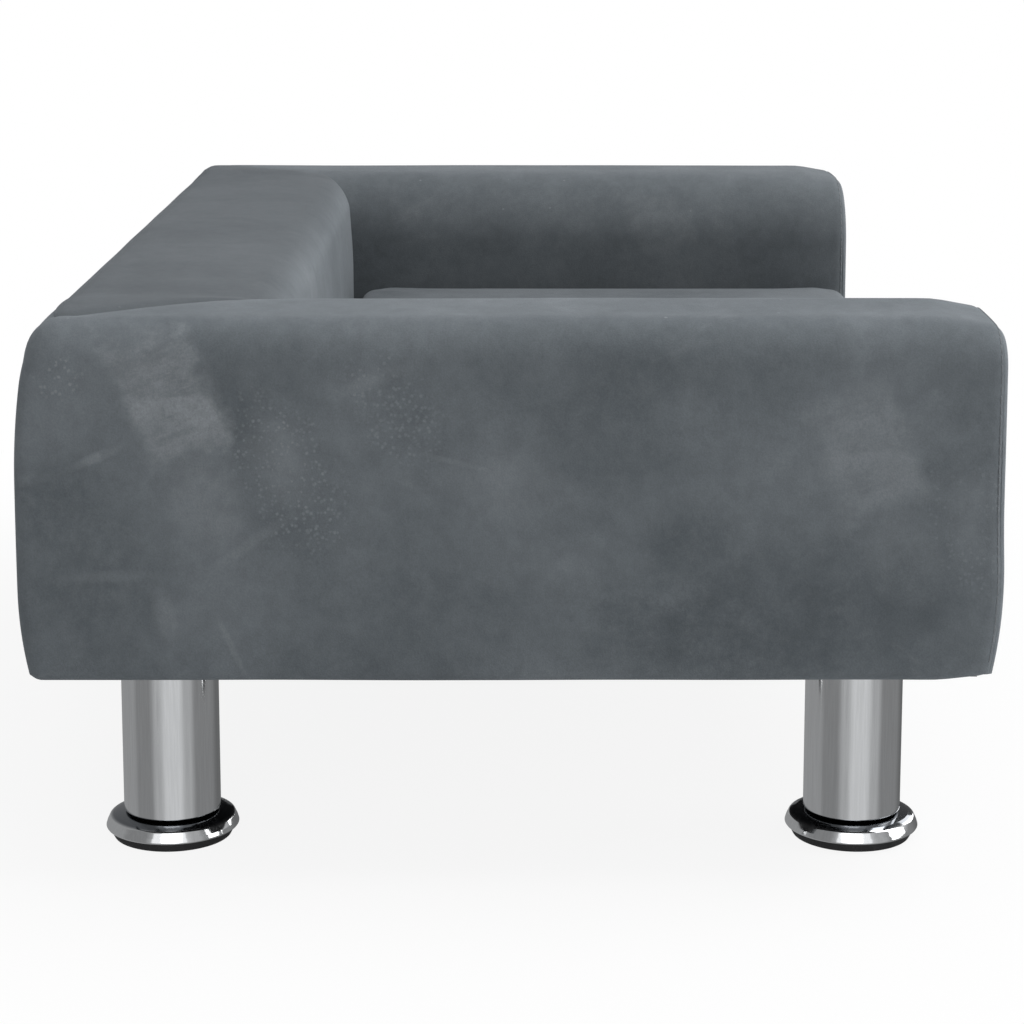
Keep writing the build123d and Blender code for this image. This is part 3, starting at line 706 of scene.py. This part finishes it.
def foot_pad(name, corner):
    """The rubber pad under a levelling foot, with two rings cut into its sole."""
    low, high, centre, widest = round_part(f"{corner}_foot_pad")
    axis, seat = 0.01 * MM, 25 * MM
    sole, edge = widest - 2.45 * MM, low.z + 4.8 * MM
    groove, deep, soft = 1.6 * MM, low.z + 1.0 * MM, 0.2 * MM
    outline = [(axis, low.z, 0)]
    for radius in (11 * MM, 19 * MM):
        cut = (radius, low.z), (radius, deep), (radius + groove, deep), (radius + groove, low.z)
        outline += [(x, z, soft) for x, z in cut]
    outline += [
        (sole, low.z, 0.9 * MM), (widest, edge, 0.5 * MM), (seat, edge, soft), (seat, high.z, 0.4 * MM),
        (axis, high.z, 0),
    ]
    return lathe(name, round_corners(outline, steps=4), centre)


def foot_stud(name, corner):
    """The threaded stud of a levelling foot."""
    low, high, centre, outer = round_part(f"{corner}_foot_stud")
    pitch, depth, flank, segments = 1.25 * MM, 0.62 * MM, 1.6, 28
    steps = round((high.z - low.z) / pitch * 6)
    rings = []
    for step in range(steps + 1):
        z = low.z + (high.z - low.z) * step / steps
        ends = min(1, (z - low.z) / pitch, (high.z - z) / pitch)
        ring = []
        for share in np.arange(segments) / segments:
            crest = min(1.0, flank * abs(2 * ((z / pitch - share) % 1) - 1))
            r, a = outer - depth * (1 - crest * ends), 2 * math.pi * share
            ring.append((centre.x + r * math.cos(a), centre.y + r * math.sin(a), z))
        rings.append(ring)
    points, faces = [], []
    add_bar(points, faces, rings)
    return make_object(name, points, faces)


# Underside

def dust_sheet(name):
    """The non-woven sheet under the frame, a little slack between its staples."""
    columns, rows = 84, 53
    sag, slack_scale, edge_power = 0.7 * MM, 24, 8
    rings = []
    for u in np.linspace(-1, 1, columns + 1):
        under, over = [], []
        for v in np.linspace(1, -1, rows + 1):
            x = dust_low.x + (dust_high.x - dust_low.x) * (u + 1) / 2
            y = dust_low.y + (dust_high.y - dust_low.y) * (v + 1) / 2
            slack = noise.noise(Vector((x, y, 0.3)) * slack_scale) * 0.5 + 0.5
            under.append((x, y, dust_low.z - sag * slack * (1 - u ** edge_power) * (1 - v ** edge_power)))
            over.append((x, y, dust_high.z))
        rings.append(under + over[::-1])
    return closed_sheet(name, rings)


def staple_row(name):
    """The staples along the edges of the dust cover, left out around the legs."""
    inset, pitch, crown, wire = 7 * MM, 42 * MM, 10 * MM, 0.55 * MM
    level, clear = dust_low.z - 0.2 * MM, 80 * MM
    half_x, half_y = dust_high.x - inset, dust_high.y - inset
    legs = [sum(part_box(f"{corner}_leg_tube"), Vector()) / 2 for corner in CORNERS]
    along_x, along_y = (np.arange(-half + pitch / 2, half, pitch) for half in (half_x, half_y))
    spots = [(x, side * half_y, Vector((1, 0, 0))) for side in (-1, 1) for x in along_x]
    spots += [(side * half_x, y, Vector((0, 1, 0))) for side in (-1, 1) for y in along_y]
    points, faces = [], []
    for x, y, along in spots:
        if min(math.hypot(x - leg.x, y - leg.y) for leg in legs) > clear:
            middle, reach = Vector((x, y, level)), along * crown / 2
            rod(points, faces, middle - reach, middle + reach, wire)
    return make_object(name, points, faces)


# Materials

def fill(tree, made, inputs):
    """Set or link a node's inputs by name or number."""
    for key, value in inputs.items():
        if isinstance(value, bpy.types.NodeSocket):
            tree.links.new(value, made.inputs[key])
        else:
            made.inputs[key].default_value = value


def node(tree, kind, inputs=None, **settings):
    """Add a node, set its properties, and set or link its inputs."""
    made = tree.nodes.new(kind)
    for key, value in settings.items():
        setattr(made, key, value)
    fill(tree, made, inputs or {})
    return made


def new_material(name):
    """An empty node material with a Principled shader: the material, its node tree and the shader."""
    material = bpy.data.materials.new(name)
    material.use_nodes = True
    tree = material.node_tree
    tree.nodes.clear()
    shader = tree.nodes.new("ShaderNodeBsdfPrincipled")
    node(tree, "ShaderNodeOutputMaterial", {"Surface": shader.outputs["BSDF"]})
    return material, tree, shader


def place_of(tree):
    """The place of a surface point in metres."""
    return node(tree, "ShaderNodeTexCoord").outputs["Object"]


def part_of(vector, axis):
    """One part of a vector or colour: X, Y or Z."""
    return node(vector.id_data, "ShaderNodeSeparateXYZ", {0: vector}).outputs[axis]


def mapped(vector, kind="POINT", **mapping):
    """Coordinates moved by a Location, turned by a Rotation and scaled by a Scale."""
    inputs = {"Vector": vector, **mapping}
    return node(vector.id_data, "ShaderNodeMapping", inputs, vector_type=kind).outputs["Vector"]


def cloud(vector, scale, detail, rough):
    """Soft noise from 0 to 1."""
    inputs = {"Vector": vector, "Scale": scale, "Detail": detail, "Roughness": rough}
    return node(vector.id_data, "ShaderNodeTexNoise", inputs).outputs["Fac"]


def cells(vector, scale):
    """Scattered spots: how far the nearest one is, and its own number from 0 to 1."""
    inputs = {"Vector": vector, "Scale": scale, "Randomness": 1.0}
    made = node(vector.id_data, "ShaderNodeTexVoronoi", inputs).outputs
    return made["Distance"], part_of(made["Color"], "X")


def calc(operation, a, b=0.0):
    """One step of arithmetic on a socket and another socket or a value."""
    return node(a.id_data, "ShaderNodeMath", {0: a, 1: b}, operation=operation).outputs[0]


def times(socket, *others):
    """The product of a socket and other sockets or values."""
    for other in others:
        socket = calc("MULTIPLY", socket, other)
    return socket


def weighed(a, weight_a, b, weight_b):
    """The weighted sum of two sockets."""
    return calc("ADD", times(a, weight_a), times(b, weight_b))


def spread(socket, low, high, to_low=0.0, to_high=1.0):
    """A value brought from one range to another, held at its ends."""
    inputs = {0: socket, 1: low, 2: high, 3: to_low, 4: to_high}
    return node(socket.id_data, "ShaderNodeMapRange", inputs, interpolation_type="SMOOTHSTEP").outputs[0]


def blend_colours(share, a, b):
    """A colour between two, by a share."""
    return node(share.id_data, "ShaderNodeMix", {0: share, 6: a, 7: b}, data_type="RGBA").outputs[2]


def bump(height, strength, distance):
    """A bumped normal from a height."""
    inputs = {"Height": height, "Strength": strength, "Distance": distance}
    return node(height.id_data, "ShaderNodeBump", inputs).outputs["Normal"]


# Marks left in the nap by a brushing hand, in mm from the middle of the widest one as seen from outside:
# kind, middle (right, up), half sizes (across, up), tilt in degrees, strength
BRUSH_GROUP = {
    "wide": ("stripes", 0, 2, 21.5, 31, 22, 0.80),
    "streak": ("smear", -31.6, -24.9, 18, 3.4, 24, 0.46),
    "trail": ("smear", 17.5, -44, 23, 33, 22, 0.36),
    "specks": ("specks", 52, -33, 30, 50, 28, 0.46),
    "far_specks": ("specks", 102, -6, 24, 40, 30, 0.30),
    "haze": ("smear", 48, -27, 21, 32, 25, 0.26),
    "rising_line": ("smear", 37, -64, 34, 4.2, 35, 0.24),
    "level_line": ("smear", -27, -80, 26, 3.8, 2, 0.20),
    "drip": ("smear", -2.3, -100, 7, 20, 12, 0.32),
    "thin_line": ("smear", 26.7, -113, 2.4, 22, 24, 0.30),
    "spots": ("specks", -49, 12, 17, 14, 0, 0.50),
    "flat_nap": ("shade", -53, -46, 38, 30, 10, 0.70),
    "flat_nap_right": ("shade", 33, -11, 13, 34, 22, 0.55),
}
# Single soft marks on the outer faces of the arms, in the same terms but from the middle of the floor
SOFT_MARKS = {
    "middle_swirl": ("smear", 2, 189, 44, 20, -15, 0.20),
    "middle_line": ("smear", -22, 200, 25, 2.4, -14, 0.32),
    "high_line": ("smear", -60, 239, 28, 5, 20, 0.20),
    "flat_square": ("shade", 78.2, 161.7, 33, 26, 0, 0.80),
    "flat_high": ("shade", 54, 239.9, 34, 28, 10, 0.65),
    "flat_low": ("shade", 105, 125, 120, 48, 0, 0.90),
    "flat_left": ("shade", -190, 150, 50, 56, 10, 0.60),
}
mark_depth = 14 * MM

velvet_flat = (0.062, 0.071, 0.078, 1)
velvet_dark = (0.076, 0.086, 0.094, 1)
velvet_plain = (0.119, 0.132, 0.142, 1)
velvet_brushed = (0.190, 0.205, 0.216, 1)
rib_scale = {"X": (700, 160, 160), "Y": (160, 700, 160)}
stroke_scale = (14, 14, 48)
STROKE_TURNS = ((25, 0, 15), (-40, 0, -20))


def nap_mark(place, spot, heading, mark, weight, fine, loose, blobs):
    """One mark in the nap as a share, 0 outside it, on a face at a spot that looks along a heading."""
    kind, *sizes, tilt, strength = mark
    right, up, half_right, half_up = (size * MM for size in sizes)
    turn = math.radians(heading)
    local = mapped(
        place, "TEXTURE", Rotation=(math.radians(tilt), 0, turn), Scale=(mark_depth, half_right, half_up),
        Location=(spot[0] - right * math.sin(turn), spot[1] + right * math.cos(turn), spot[2] + up),
    )
    if kind == "stripes":
        aside, along, deep = (calc("ABSOLUTE", part_of(local, axis)) for axis in "YZX")
        edge = calc("ADD", calc("MAXIMUM", aside, along), times(loose, 0.7))
        lines = cloud(mapped(local, Scale=(0.2, 0.45, 2.2)), 1.0, 5, 0.7)
        share = times(
            spread(edge, 0.98, 1.48, 1.0, 0.0), spread(deep, 0.7, 1, 1, 0),
            spread(lines, 0.34, 0.62, 0.40, 1.0), spread(fine, 0.30, 0.60, 0.65, 1.0),
        )
    else:
        gradient = node(local.id_data, "ShaderNodeTexGradient", {0: local}, gradient_type="SPHERICAL")
        ball = gradient.outputs["Fac"]
        if kind == "specks":
            level = calc("ADD", ball, times(loose, 0.9))
            share = times(spread(level, 0.50, 0.95), spread(ball, 0.0, 0.2), blobs)
        else:
            worn = weighed(fine, 0.5, loose, 0.9)
            share = times(spread(ball, 0.0, 0.75), spread(worn, 0.45, 0.90, 0.35, 1.0))
    return times(share, strength * weight)


def velvet(name, rib_axis, seed, groups=(), singles=(), painted_light_level=1.0, painted_top_light=1.0):
    """Short-pile velvet: clouded nap, brushed marks, fine ribs and fibre grain, with a soft sheen.

    Painted light and shade: the level scales each piece's colour, the top factor that of faces that look up.
    """
    material, tree, shader = new_material(name)
    place = place_of(tree)
    own = mapped(place, Location=(seed * 0.37, seed * 0.23, seed * 0.51))
    fine = cloud(own, 420, 5, 0.75)
    loose = cloud(own, 75, 3, 0.6)
    nap = spread(cloud(own, 8, 9, 0.68), 0.26, 0.74)
    mottle = spread(cloud(own, 110, 4, 0.72), 0.28, 0.72, 0.93, 1.07)
    ribs = cloud(mapped(own, Scale=rib_scale[rib_axis]), 1, 2, 0.6)
    grain = weighed(ribs, 0.12, cloud(own, 1300, 2, 0.7), 0.88)

    crumb, kept = cells(own, 430.0)
    ragged = calc("ADD", crumb, times(fine, 0.6))
    blobs = times(spread(ragged, 0.44, 0.78, 1, 0), spread(kept, 0.1, 0.8))
    turned = [mapped(own, Rotation=np.radians(turn)) for turn in STROKE_TURNS]
    strokes = [cloud(mapped(way, Scale=stroke_scale), 1, 5, 0.66) for way in turned]
    light = spread(calc("MAXIMUM", *strokes), 0.58, 0.84, 0.0, 0.26)
    dot, chance = cells(own, 110.0)
    dots = times(spread(dot, 0.04, 0.12, 1, 0), spread(chance, 0.80, 0.98, 0.0, 0.55))
    light = calc("MAXIMUM", light, dots)

    marks = [
        (spot, heading, BRUSH_GROUP[mark], weight)
        for spot, heading, weight, names in groups for mark in names or BRUSH_GROUP
    ]
    marks += [(spot, heading, mark, 1.0) for spot, heading in singles for mark in SOFT_MARKS.values()]
    shaded = None
    for spot, heading, mark, weight in marks:
        share = nap_mark(place, spot, heading, mark, weight, fine, loose, blobs)
        if mark[0] == "shade":
            shaded = share if shaded is None else calc("MAXIMUM", shaded, share)
        else:
            light = calc("MAXIMUM", light, share)
    shade = blend_colours(nap, velvet_dark, velvet_plain)
    if shaded is not None:
        shade = blend_colours(shaded, shade, velvet_flat)
    shade = blend_colours(light, shade, velvet_brushed)

    # Painted light and shade: the level scales this piece's colour, and the top factor paints faces that look
    # up lighter or darker
    upward = part_of(node(tree, "ShaderNodeNewGeometry").outputs["Normal"], "Z")
    lift = times(
        spread(grain, 0.25, 0.75, 0.91 * painted_light_level, 1.09 * painted_light_level), mottle,
        spread(upward, 0.35, 1.0, 1.0, painted_top_light),
    )
    colour = node(tree, "ShaderNodeVectorMath", {0: shade, 1: lift}, operation="MULTIPLY").outputs[0]
    fill(tree, shader, {
        "Base Color": colour,
        "Roughness": spread(light, 0.0, 1.0, 0.90, 0.76), "Specular IOR Level": 0.12,
        "Sheen Weight": 0.2, "Sheen Roughness": 0.5, "Sheen Tint": (0.60, 0.64, 0.68, 1),
        "Normal": bump(grain, 0.35, 0.4 * MM),
    })
    return material


def plain_material(name, colour, second, grain_scale, rough, metallic=0.0, bump_strength=0.15):
    """A plain finish with fine grain in its colour, roughness and surface."""
    material, tree, shader = new_material(name)
    rough_spread = 0.08
    grain = cloud(mapped(place_of(tree), Scale=grain_scale), 1, 4, 0.6)
    fill(tree, shader, {
        "Base Color": blend_colours(spread(grain, 0.3, 0.7), colour, second),
        "Roughness": spread(grain, 0.2, 0.8, rough - rough_spread, rough + rough_spread),
        "Metallic": metallic, "Normal": bump(grain, bump_strength, 0.2 * MM),
    })
    return material


chrome_tint = (0.91, 0.915, 0.92, 1)
chrome_drawn = tuple(0.93 * c for c in chrome_tint[:3]) + (1,)
# A painted dark reflection and shade for the saucers' domes, blended in over a soft height
chrome_painted_shade = (0.20, 0.21, 0.225, 1)
painted_shade_soft = 0.8 * MM


def chrome(name, rough, painted_shade_from=None):
    """Polished chrome, faint drawn grain, dulled a little by handling; painted dark reflection above a
    height.
    """
    material, tree, shader = new_material(name)
    place = place_of(tree)
    drawn = cloud(mapped(place, Scale=(900, 900, 40)), 1, 3, 0.6)
    dull = cloud(place, 45, 4, 0.6)
    colour = blend_colours(spread(drawn, 0.3, 0.7), chrome_drawn, chrome_tint)
    # Painted shade and dark reflection above the given height
    if painted_shade_from is not None:
        share = spread(part_of(place, "Z"), painted_shade_from, painted_shade_from + painted_shade_soft)
        colour = blend_colours(share, colour, chrome_painted_shade)
    worn = weighed(drawn, 0.5, dull, 0.5)
    fill(tree, shader, {
        "Base Color": colour, "Roughness": spread(worn, 0.3, 0.7, rough * 0.75, rough * 1.3),
        "Metallic": 1.0, "Normal": bump(drawn, 0.04, 0.05 * MM),
    })
    return material


def woven(name, colour, second, thread):
    """A narrow woven tape: crossed threads in its colour and surface."""
    material, tree, shader = new_material(name)
    waves = {"Vector": place_of(tree), "Scale": 1 / thread, "Distortion": 0.4}
    weave = times(*(
        node(tree, "ShaderNodeTexWave", waves, bands_direction=axis).outputs["Fac"] for axis in "XZ"
    ))
    fill(tree, shader, {
        "Base Color": blend_colours(weave, colour, second),
        "Roughness": spread(weave, 0, 1, 0.9, 0.7), "Normal": bump(weave, 0.4, 0.3 * MM),
    })
    return material


# Where the brushed marks lie: the middle of each group, the heading of its face, its strength and its marks
left_face, right_face = -arm_outer, arm_outer
swept = ("wide", "trail", "specks", "haze", "flat_nap_right")
dusted = ("wide", "specks", "far_specks", "drip", "flat_nap")
stroked = ("wide", "streak", "trail", "rising_line", "spots")
left_groups = [
    ((left_face, 0.1537, 0.2282), 180, 1.0, None), ((left_face, -0.1582, 0.2035), 180, 0.52, swept),
]
right_groups = [
    ((right_face, -0.1300, 0.2150), 0, 0.80, stroked), ((right_face, 0.1500, 0.1950), 0, 0.50, dusted),
    ((arm_inner, -0.0950, 0.2400), 180, 0.30, swept),
]
back_groups = [
    ((0.2100, rear_edge, 0.2200), 90, 0.75, dusted), ((-0.1300, rear_edge, 0.2050), 90, 0.55, stroked),
    ((-0.0900, back_front, 0.2450), -90, 0.26, swept),
]
left_singles, right_singles = [((left_face, 0, 0), 180)], [((right_face, 0, 0), 0)]
# Each velvet's level and top factor are painted light and shade: lit and shaded copies of the one velvet
velvets = {
    "left_arm": velvet("velvet_left_arm", "Y", 1, left_groups, left_singles, painted_light_level=1.19, painted_top_light=1.08),
    "right_arm": velvet("velvet_right_arm", "Y", 2, right_groups, right_singles, painted_light_level=0.89, painted_top_light=1.22),
    "back": velvet("velvet_back", "X", 3, back_groups, painted_light_level=1.29, painted_top_light=0.595),
    "left_facing": velvet("velvet_left_facing", "X", 6, painted_light_level=1.36),
    "right_facing": velvet("velvet_right_facing", "X", 7, painted_light_level=1.04),
    "seat": velvet("velvet_seat", "X", 4),
    "cushion": velvet("velvet_cushion", "X", 5, painted_light_level=0.94),
}
# Height above which the saucers' domes get a painted dark reflection and shade
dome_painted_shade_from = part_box("left_front_foot_saucer")[0].z + 5.4 * MM
# Plain finishes: two colours, grain, roughness and, where they differ, metallic and bump
PLAIN_FINISHES = {
    "zinc_steel": ((0.55, 0.55, 0.54, 1), (0.70, 0.70, 0.68, 1), (300,) * 3, 0.38, 1.0),
    "zip_metal": ((0.20, 0.20, 0.21, 1), (0.28, 0.28, 0.29, 1), (400,) * 3, 0.35, 1.0),
    "rubber": ((0.010, 0.010, 0.011, 1), (0.020, 0.020, 0.021, 1), (260,) * 3, 0.62),
    "plastic": ((0.012, 0.012, 0.013, 1), (0.022, 0.022, 0.023, 1), (180,) * 3, 0.45),
    "plywood": ((0.42, 0.29, 0.17, 1), (0.58, 0.43, 0.27, 1), (14, 90, 220), 0.7),
    "nonwoven": ((0.012, 0.012, 0.013, 1), (0.030, 0.030, 0.032, 1), (520,) * 3, 0.9, 0.0, 0.5),
    "thread": ((0.120, 0.131, 0.140, 1), (0.150, 0.163, 0.173, 1), (1800,) * 3, 0.8),
}
finishes = {name: plain_material(name, *look) for name, look in PLAIN_FINISHES.items()}
finishes["chrome"] = chrome("chrome", 0.11)
finishes["saucer"] = chrome("chrome_saucer", 0.09, dome_painted_shade_from)
finishes["tape"] = woven("zip_tape", (0.030, 0.033, 0.036, 1), (0.065, 0.070, 0.075, 1), 0.9 * MM)


def dress(piece, material, body):
    """Give a piece its material and its body."""
    piece.data.materials.clear()
    piece.data.materials.append(material)
    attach(piece, body)
    return piece


# Padded arms, with their front facings and stitches: the left ones mirror the right ones
ripple_height, arm_ripple, back_ripple = 0.35 * MM, 70 * MM, 80 * MM
right_pieces = arm_wrap("right_arm_wrap"), arm_facing("right_arm_facing"), seam_stitches("right_arm_stitches")
left_pieces = tuple(mirrored(piece, piece.name.replace("right", "left")) for piece in right_pieces)
for seed, side, (wrap, facing, stitches) in ((1, "left", left_pieces), (2, "right", right_pieces)):
    ripple(wrap, ripple_height, arm_ripple, seed)
    dress(wrap, velvets[f"{side}_arm"], "frame")
    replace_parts(wrap, f"{side}_arm_cover", f"{side}_arm_foam")
    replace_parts(dress(facing, velvets[f"{side}_facing"], "frame"), f"{side}_arm_front_facing")
    dress(stitches, finishes["thread"], "frame")

# Back
back = dress(back_pad("back_wrap"), velvets["back"], "frame")
ripple(back, ripple_height, back_ripple, 5)
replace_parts(back, "back_cover", "back_foam")

# Seat front and deck lining
apron, apron_flat = apron_sheet("seat_apron")
dress(apron, velvets["seat"], "frame")
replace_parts(apron, "seat_cover", "seat_front_foam")

# Cushion with its zip
cushion = dress(cushion_pad("seat_cushion"), velvets["cushion"], "cushion")
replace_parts(cushion, "cushion_cover", "cushion_foam")
tape, coil = zip_pieces()
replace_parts(dress(tape, finishes["tape"], "cushion"), "cushion_zip")
dress(coil, finishes["zip_metal"], "cushion")
slider = dress(zip_slider_piece(), finishes["zip_metal"], "zip_slider")
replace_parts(slider, "zip_slider")

# Legs and feet
for corner in CORNERS:
    tube = dress(leg_tube(f"{corner}_tube", corner), finishes["chrome"], "frame")
    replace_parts(tube, f"{corner}_leg_tube")
    saucer = dress(foot_saucer(f"{corner}_saucer", corner), finishes["saucer"], f"{corner}_foot")
    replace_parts(saucer, f"{corner}_foot_saucer")
    stud = dress(foot_stud(f"{corner}_stud", corner), finishes["zinc_steel"], f"{corner}_foot")
    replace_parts(stud, f"{corner}_foot_stud")
    pad = dress(foot_pad(f"{corner}_pad_rubber", corner), finishes["rubber"], f"{corner}_pad")
    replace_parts(pad, f"{corner}_foot_pad")

# Underside
dust = dress(dust_sheet("dust_sheet"), finishes["nonwoven"], "frame")
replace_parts(dust, "dust_cover")
staples = dress(staple_row("dust_staples"), finishes["zinc_steel"], "frame")

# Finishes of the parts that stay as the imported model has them
KEPT_FINISHES = {
    "zinc_steel": ("arm_bolts", "arm_tee_nuts", "frame_screws", "leg_inserts", "leg_studs"),
    "plastic": ("leg_bottom_plugs", "leg_top_caps"),
}
kept_finish = {name: finish for finish, names in KEPT_FINISHES.items() for name in names}
for name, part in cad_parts.items():
    part.data.materials.clear()
    part.data.materials.append(finishes[kept_finish.get(name, "plywood")])


# Floor, light and camera

WHITE = (1, 1, 1, 1)
floor_half, floor_near, floor_far = 30.0, 0.30, 0.75
FLOOR_WHITE = 0.89


def floor_material():
    """A matt ground that takes a soft shadow and looks white further out."""
    material, tree, shader = new_material("floor")
    fill(tree, shader, {"Base Color": (0.74, 0.74, 0.74, 1), "Roughness": 0.9, "Specular IOR Level": 0.0})
    away = node(tree, "ShaderNodeVectorMath", {0: place_of(tree)}, operation="LENGTH").outputs["Value"]
    seen = times(node(tree, "ShaderNodeLightPath").outputs["Is Camera Ray"],
                 spread(away, floor_near, floor_far, FLOOR_WHITE, 1.0))
    glow = node(tree, "ShaderNodeEmission", {"Color": WHITE, "Strength": 1.0})
    mixed = node(tree, "ShaderNodeMixShader", {0: seen, 1: shader.outputs[0], 2: glow.outputs[0]})
    output = next(n for n in tree.nodes if n.type == "OUTPUT_MATERIAL")
    fill(tree, output, {"Surface": mixed.outputs[0]})
    return material


floor_corners = [(x * floor_half, y * floor_half, 0) for x, y in ((-1, -1), (1, -1), (1, 1), (-1, 1))]
floor = make_object("floor", floor_corners, [[0, 1, 2, 3]])
floor.data.materials.append(floor_material())
floor.visible_glossy = False

# Square lamps, all aimed at the middle of the part: place, width, watts
LAMPS = {
    "key": ((-0.2, -1.4, 2.2), 1.6, 40),
    "overhead": ((0.0, 0.0, 2.6), 1.8, 19),
    "front_fill": ((-2.4, 0.0, 0.9), 1.4, 13),
    "side_fill": ((-0.5, -2.4, 0.8), 1.4, 12),
    "far_fill": ((1.7, -1.7, 1.0), 1.4, 18),
}
middle_of_part = Vector((0, 0, 0.18))
for name, (place, width, watts) in LAMPS.items():
    lamp = bpy.data.lights.new(name, "AREA")
    lamp.shape = "RECTANGLE"
    lamp.size = lamp.size_y = width
    lamp.energy = watts
    light = add_object(name, lamp)
    light.location = place
    light.rotation_euler = (middle_of_part - Vector(place)).to_track_quat("-Z", "Y").to_euler()

# What polished metal mirrors, by turn and rise in degrees: grey, with bands of low, high, softness and added
# light, and a white panel behind the camera and a paler side as patches of turn, rise and light
mirror_grey = 0.22
MIRROR_BANDS = ((-180, -84, 6, 0.07), (-37, 60, 8, 0.17), (-13, 34, 8, 0.19), (130, 180, 15, -0.08))
MIRROR_PATCHES = (((-31, 31, 2), (-11, 37, 5), 0.97), ((70, 150, 16), (8, 80, 10), 0.55))
ambient_tint, ambient_strength = (0.97, 0.98, 1.0, 1), 0.31
mirror_tint = (0.97, 0.985, 1, 1)


def window(socket, low, high, soft):
    """1 where a value lies between two ends, falling softly to 0 past them."""
    rise = spread(socket, low - soft, low + soft)
    return times(rise, spread(socket, high - soft, high + soft, 1.0, 0.0))


def studio_world():
    """White to the camera, an even soft light on the part, and the mirrored studio in polished metal."""
    world = bpy.data.worlds.new("studio")
    world.use_nodes = True
    sky = world.node_tree
    sky.nodes.clear()
    path = node(sky, "ShaderNodeLightPath").outputs
    direction = node(sky, "ShaderNodeTexCoord").outputs["Generated"]
    back_y, back_x = (times(part_of(direction, axis), -1.0) for axis in "YX")
    turn = calc("DEGREES", calc("ARCTAN2", back_y, back_x))
    rise = calc("DEGREES", calc("ARCSINE", part_of(direction, "Z")))
    light = mirror_grey
    for low, high, soft, more in MIRROR_BANDS:
        light = calc("ADD", times(window(turn, low, high, soft), more), light)
    for turn_ends, rise_ends, level in MIRROR_PATCHES:
        patch = times(window(turn, *turn_ends), window(rise, *rise_ends), level)
        light = calc("MAXIMUM", light, patch)
    ambient, white, studio = (
        node(sky, "ShaderNodeBackground", {"Color": tint, "Strength": strength}).outputs[0]
        for tint, strength in ((ambient_tint, ambient_strength), (WHITE, 1.0), (mirror_tint, light))
    )
    mirror_ray = calc("MAXIMUM", path["Is Glossy Ray"], path["Is Transmission Ray"])
    lit = node(sky, "ShaderNodeMixShader", {0: mirror_ray, 1: ambient, 2: studio})
    seen = node(sky, "ShaderNodeMixShader", {0: path["Is Camera Ray"], 1: lit.outputs[0], 2: white})
    node(sky, "ShaderNodeOutputWorld", {"Surface": seen.outputs[0]})
    return world


scene = bpy.context.scene
scene.world = studio_world()

camera_data = bpy.data.cameras.new("camera")
camera_data.sensor_width = 36.0
camera_data.lens = 95.27
camera_data.shift_y = -0.16
camera = add_object("camera", camera_data)
camera.location = (-1.536, 0.0, 0.4556)
camera_pitch = math.radians(9.71)
camera.rotation_euler = (math.pi / 2 - camera_pitch, 0, -math.pi / 2)
scene.camera = camera
scene.view_settings.view_transform = "Standard"

bpy.context.view_layer.update()
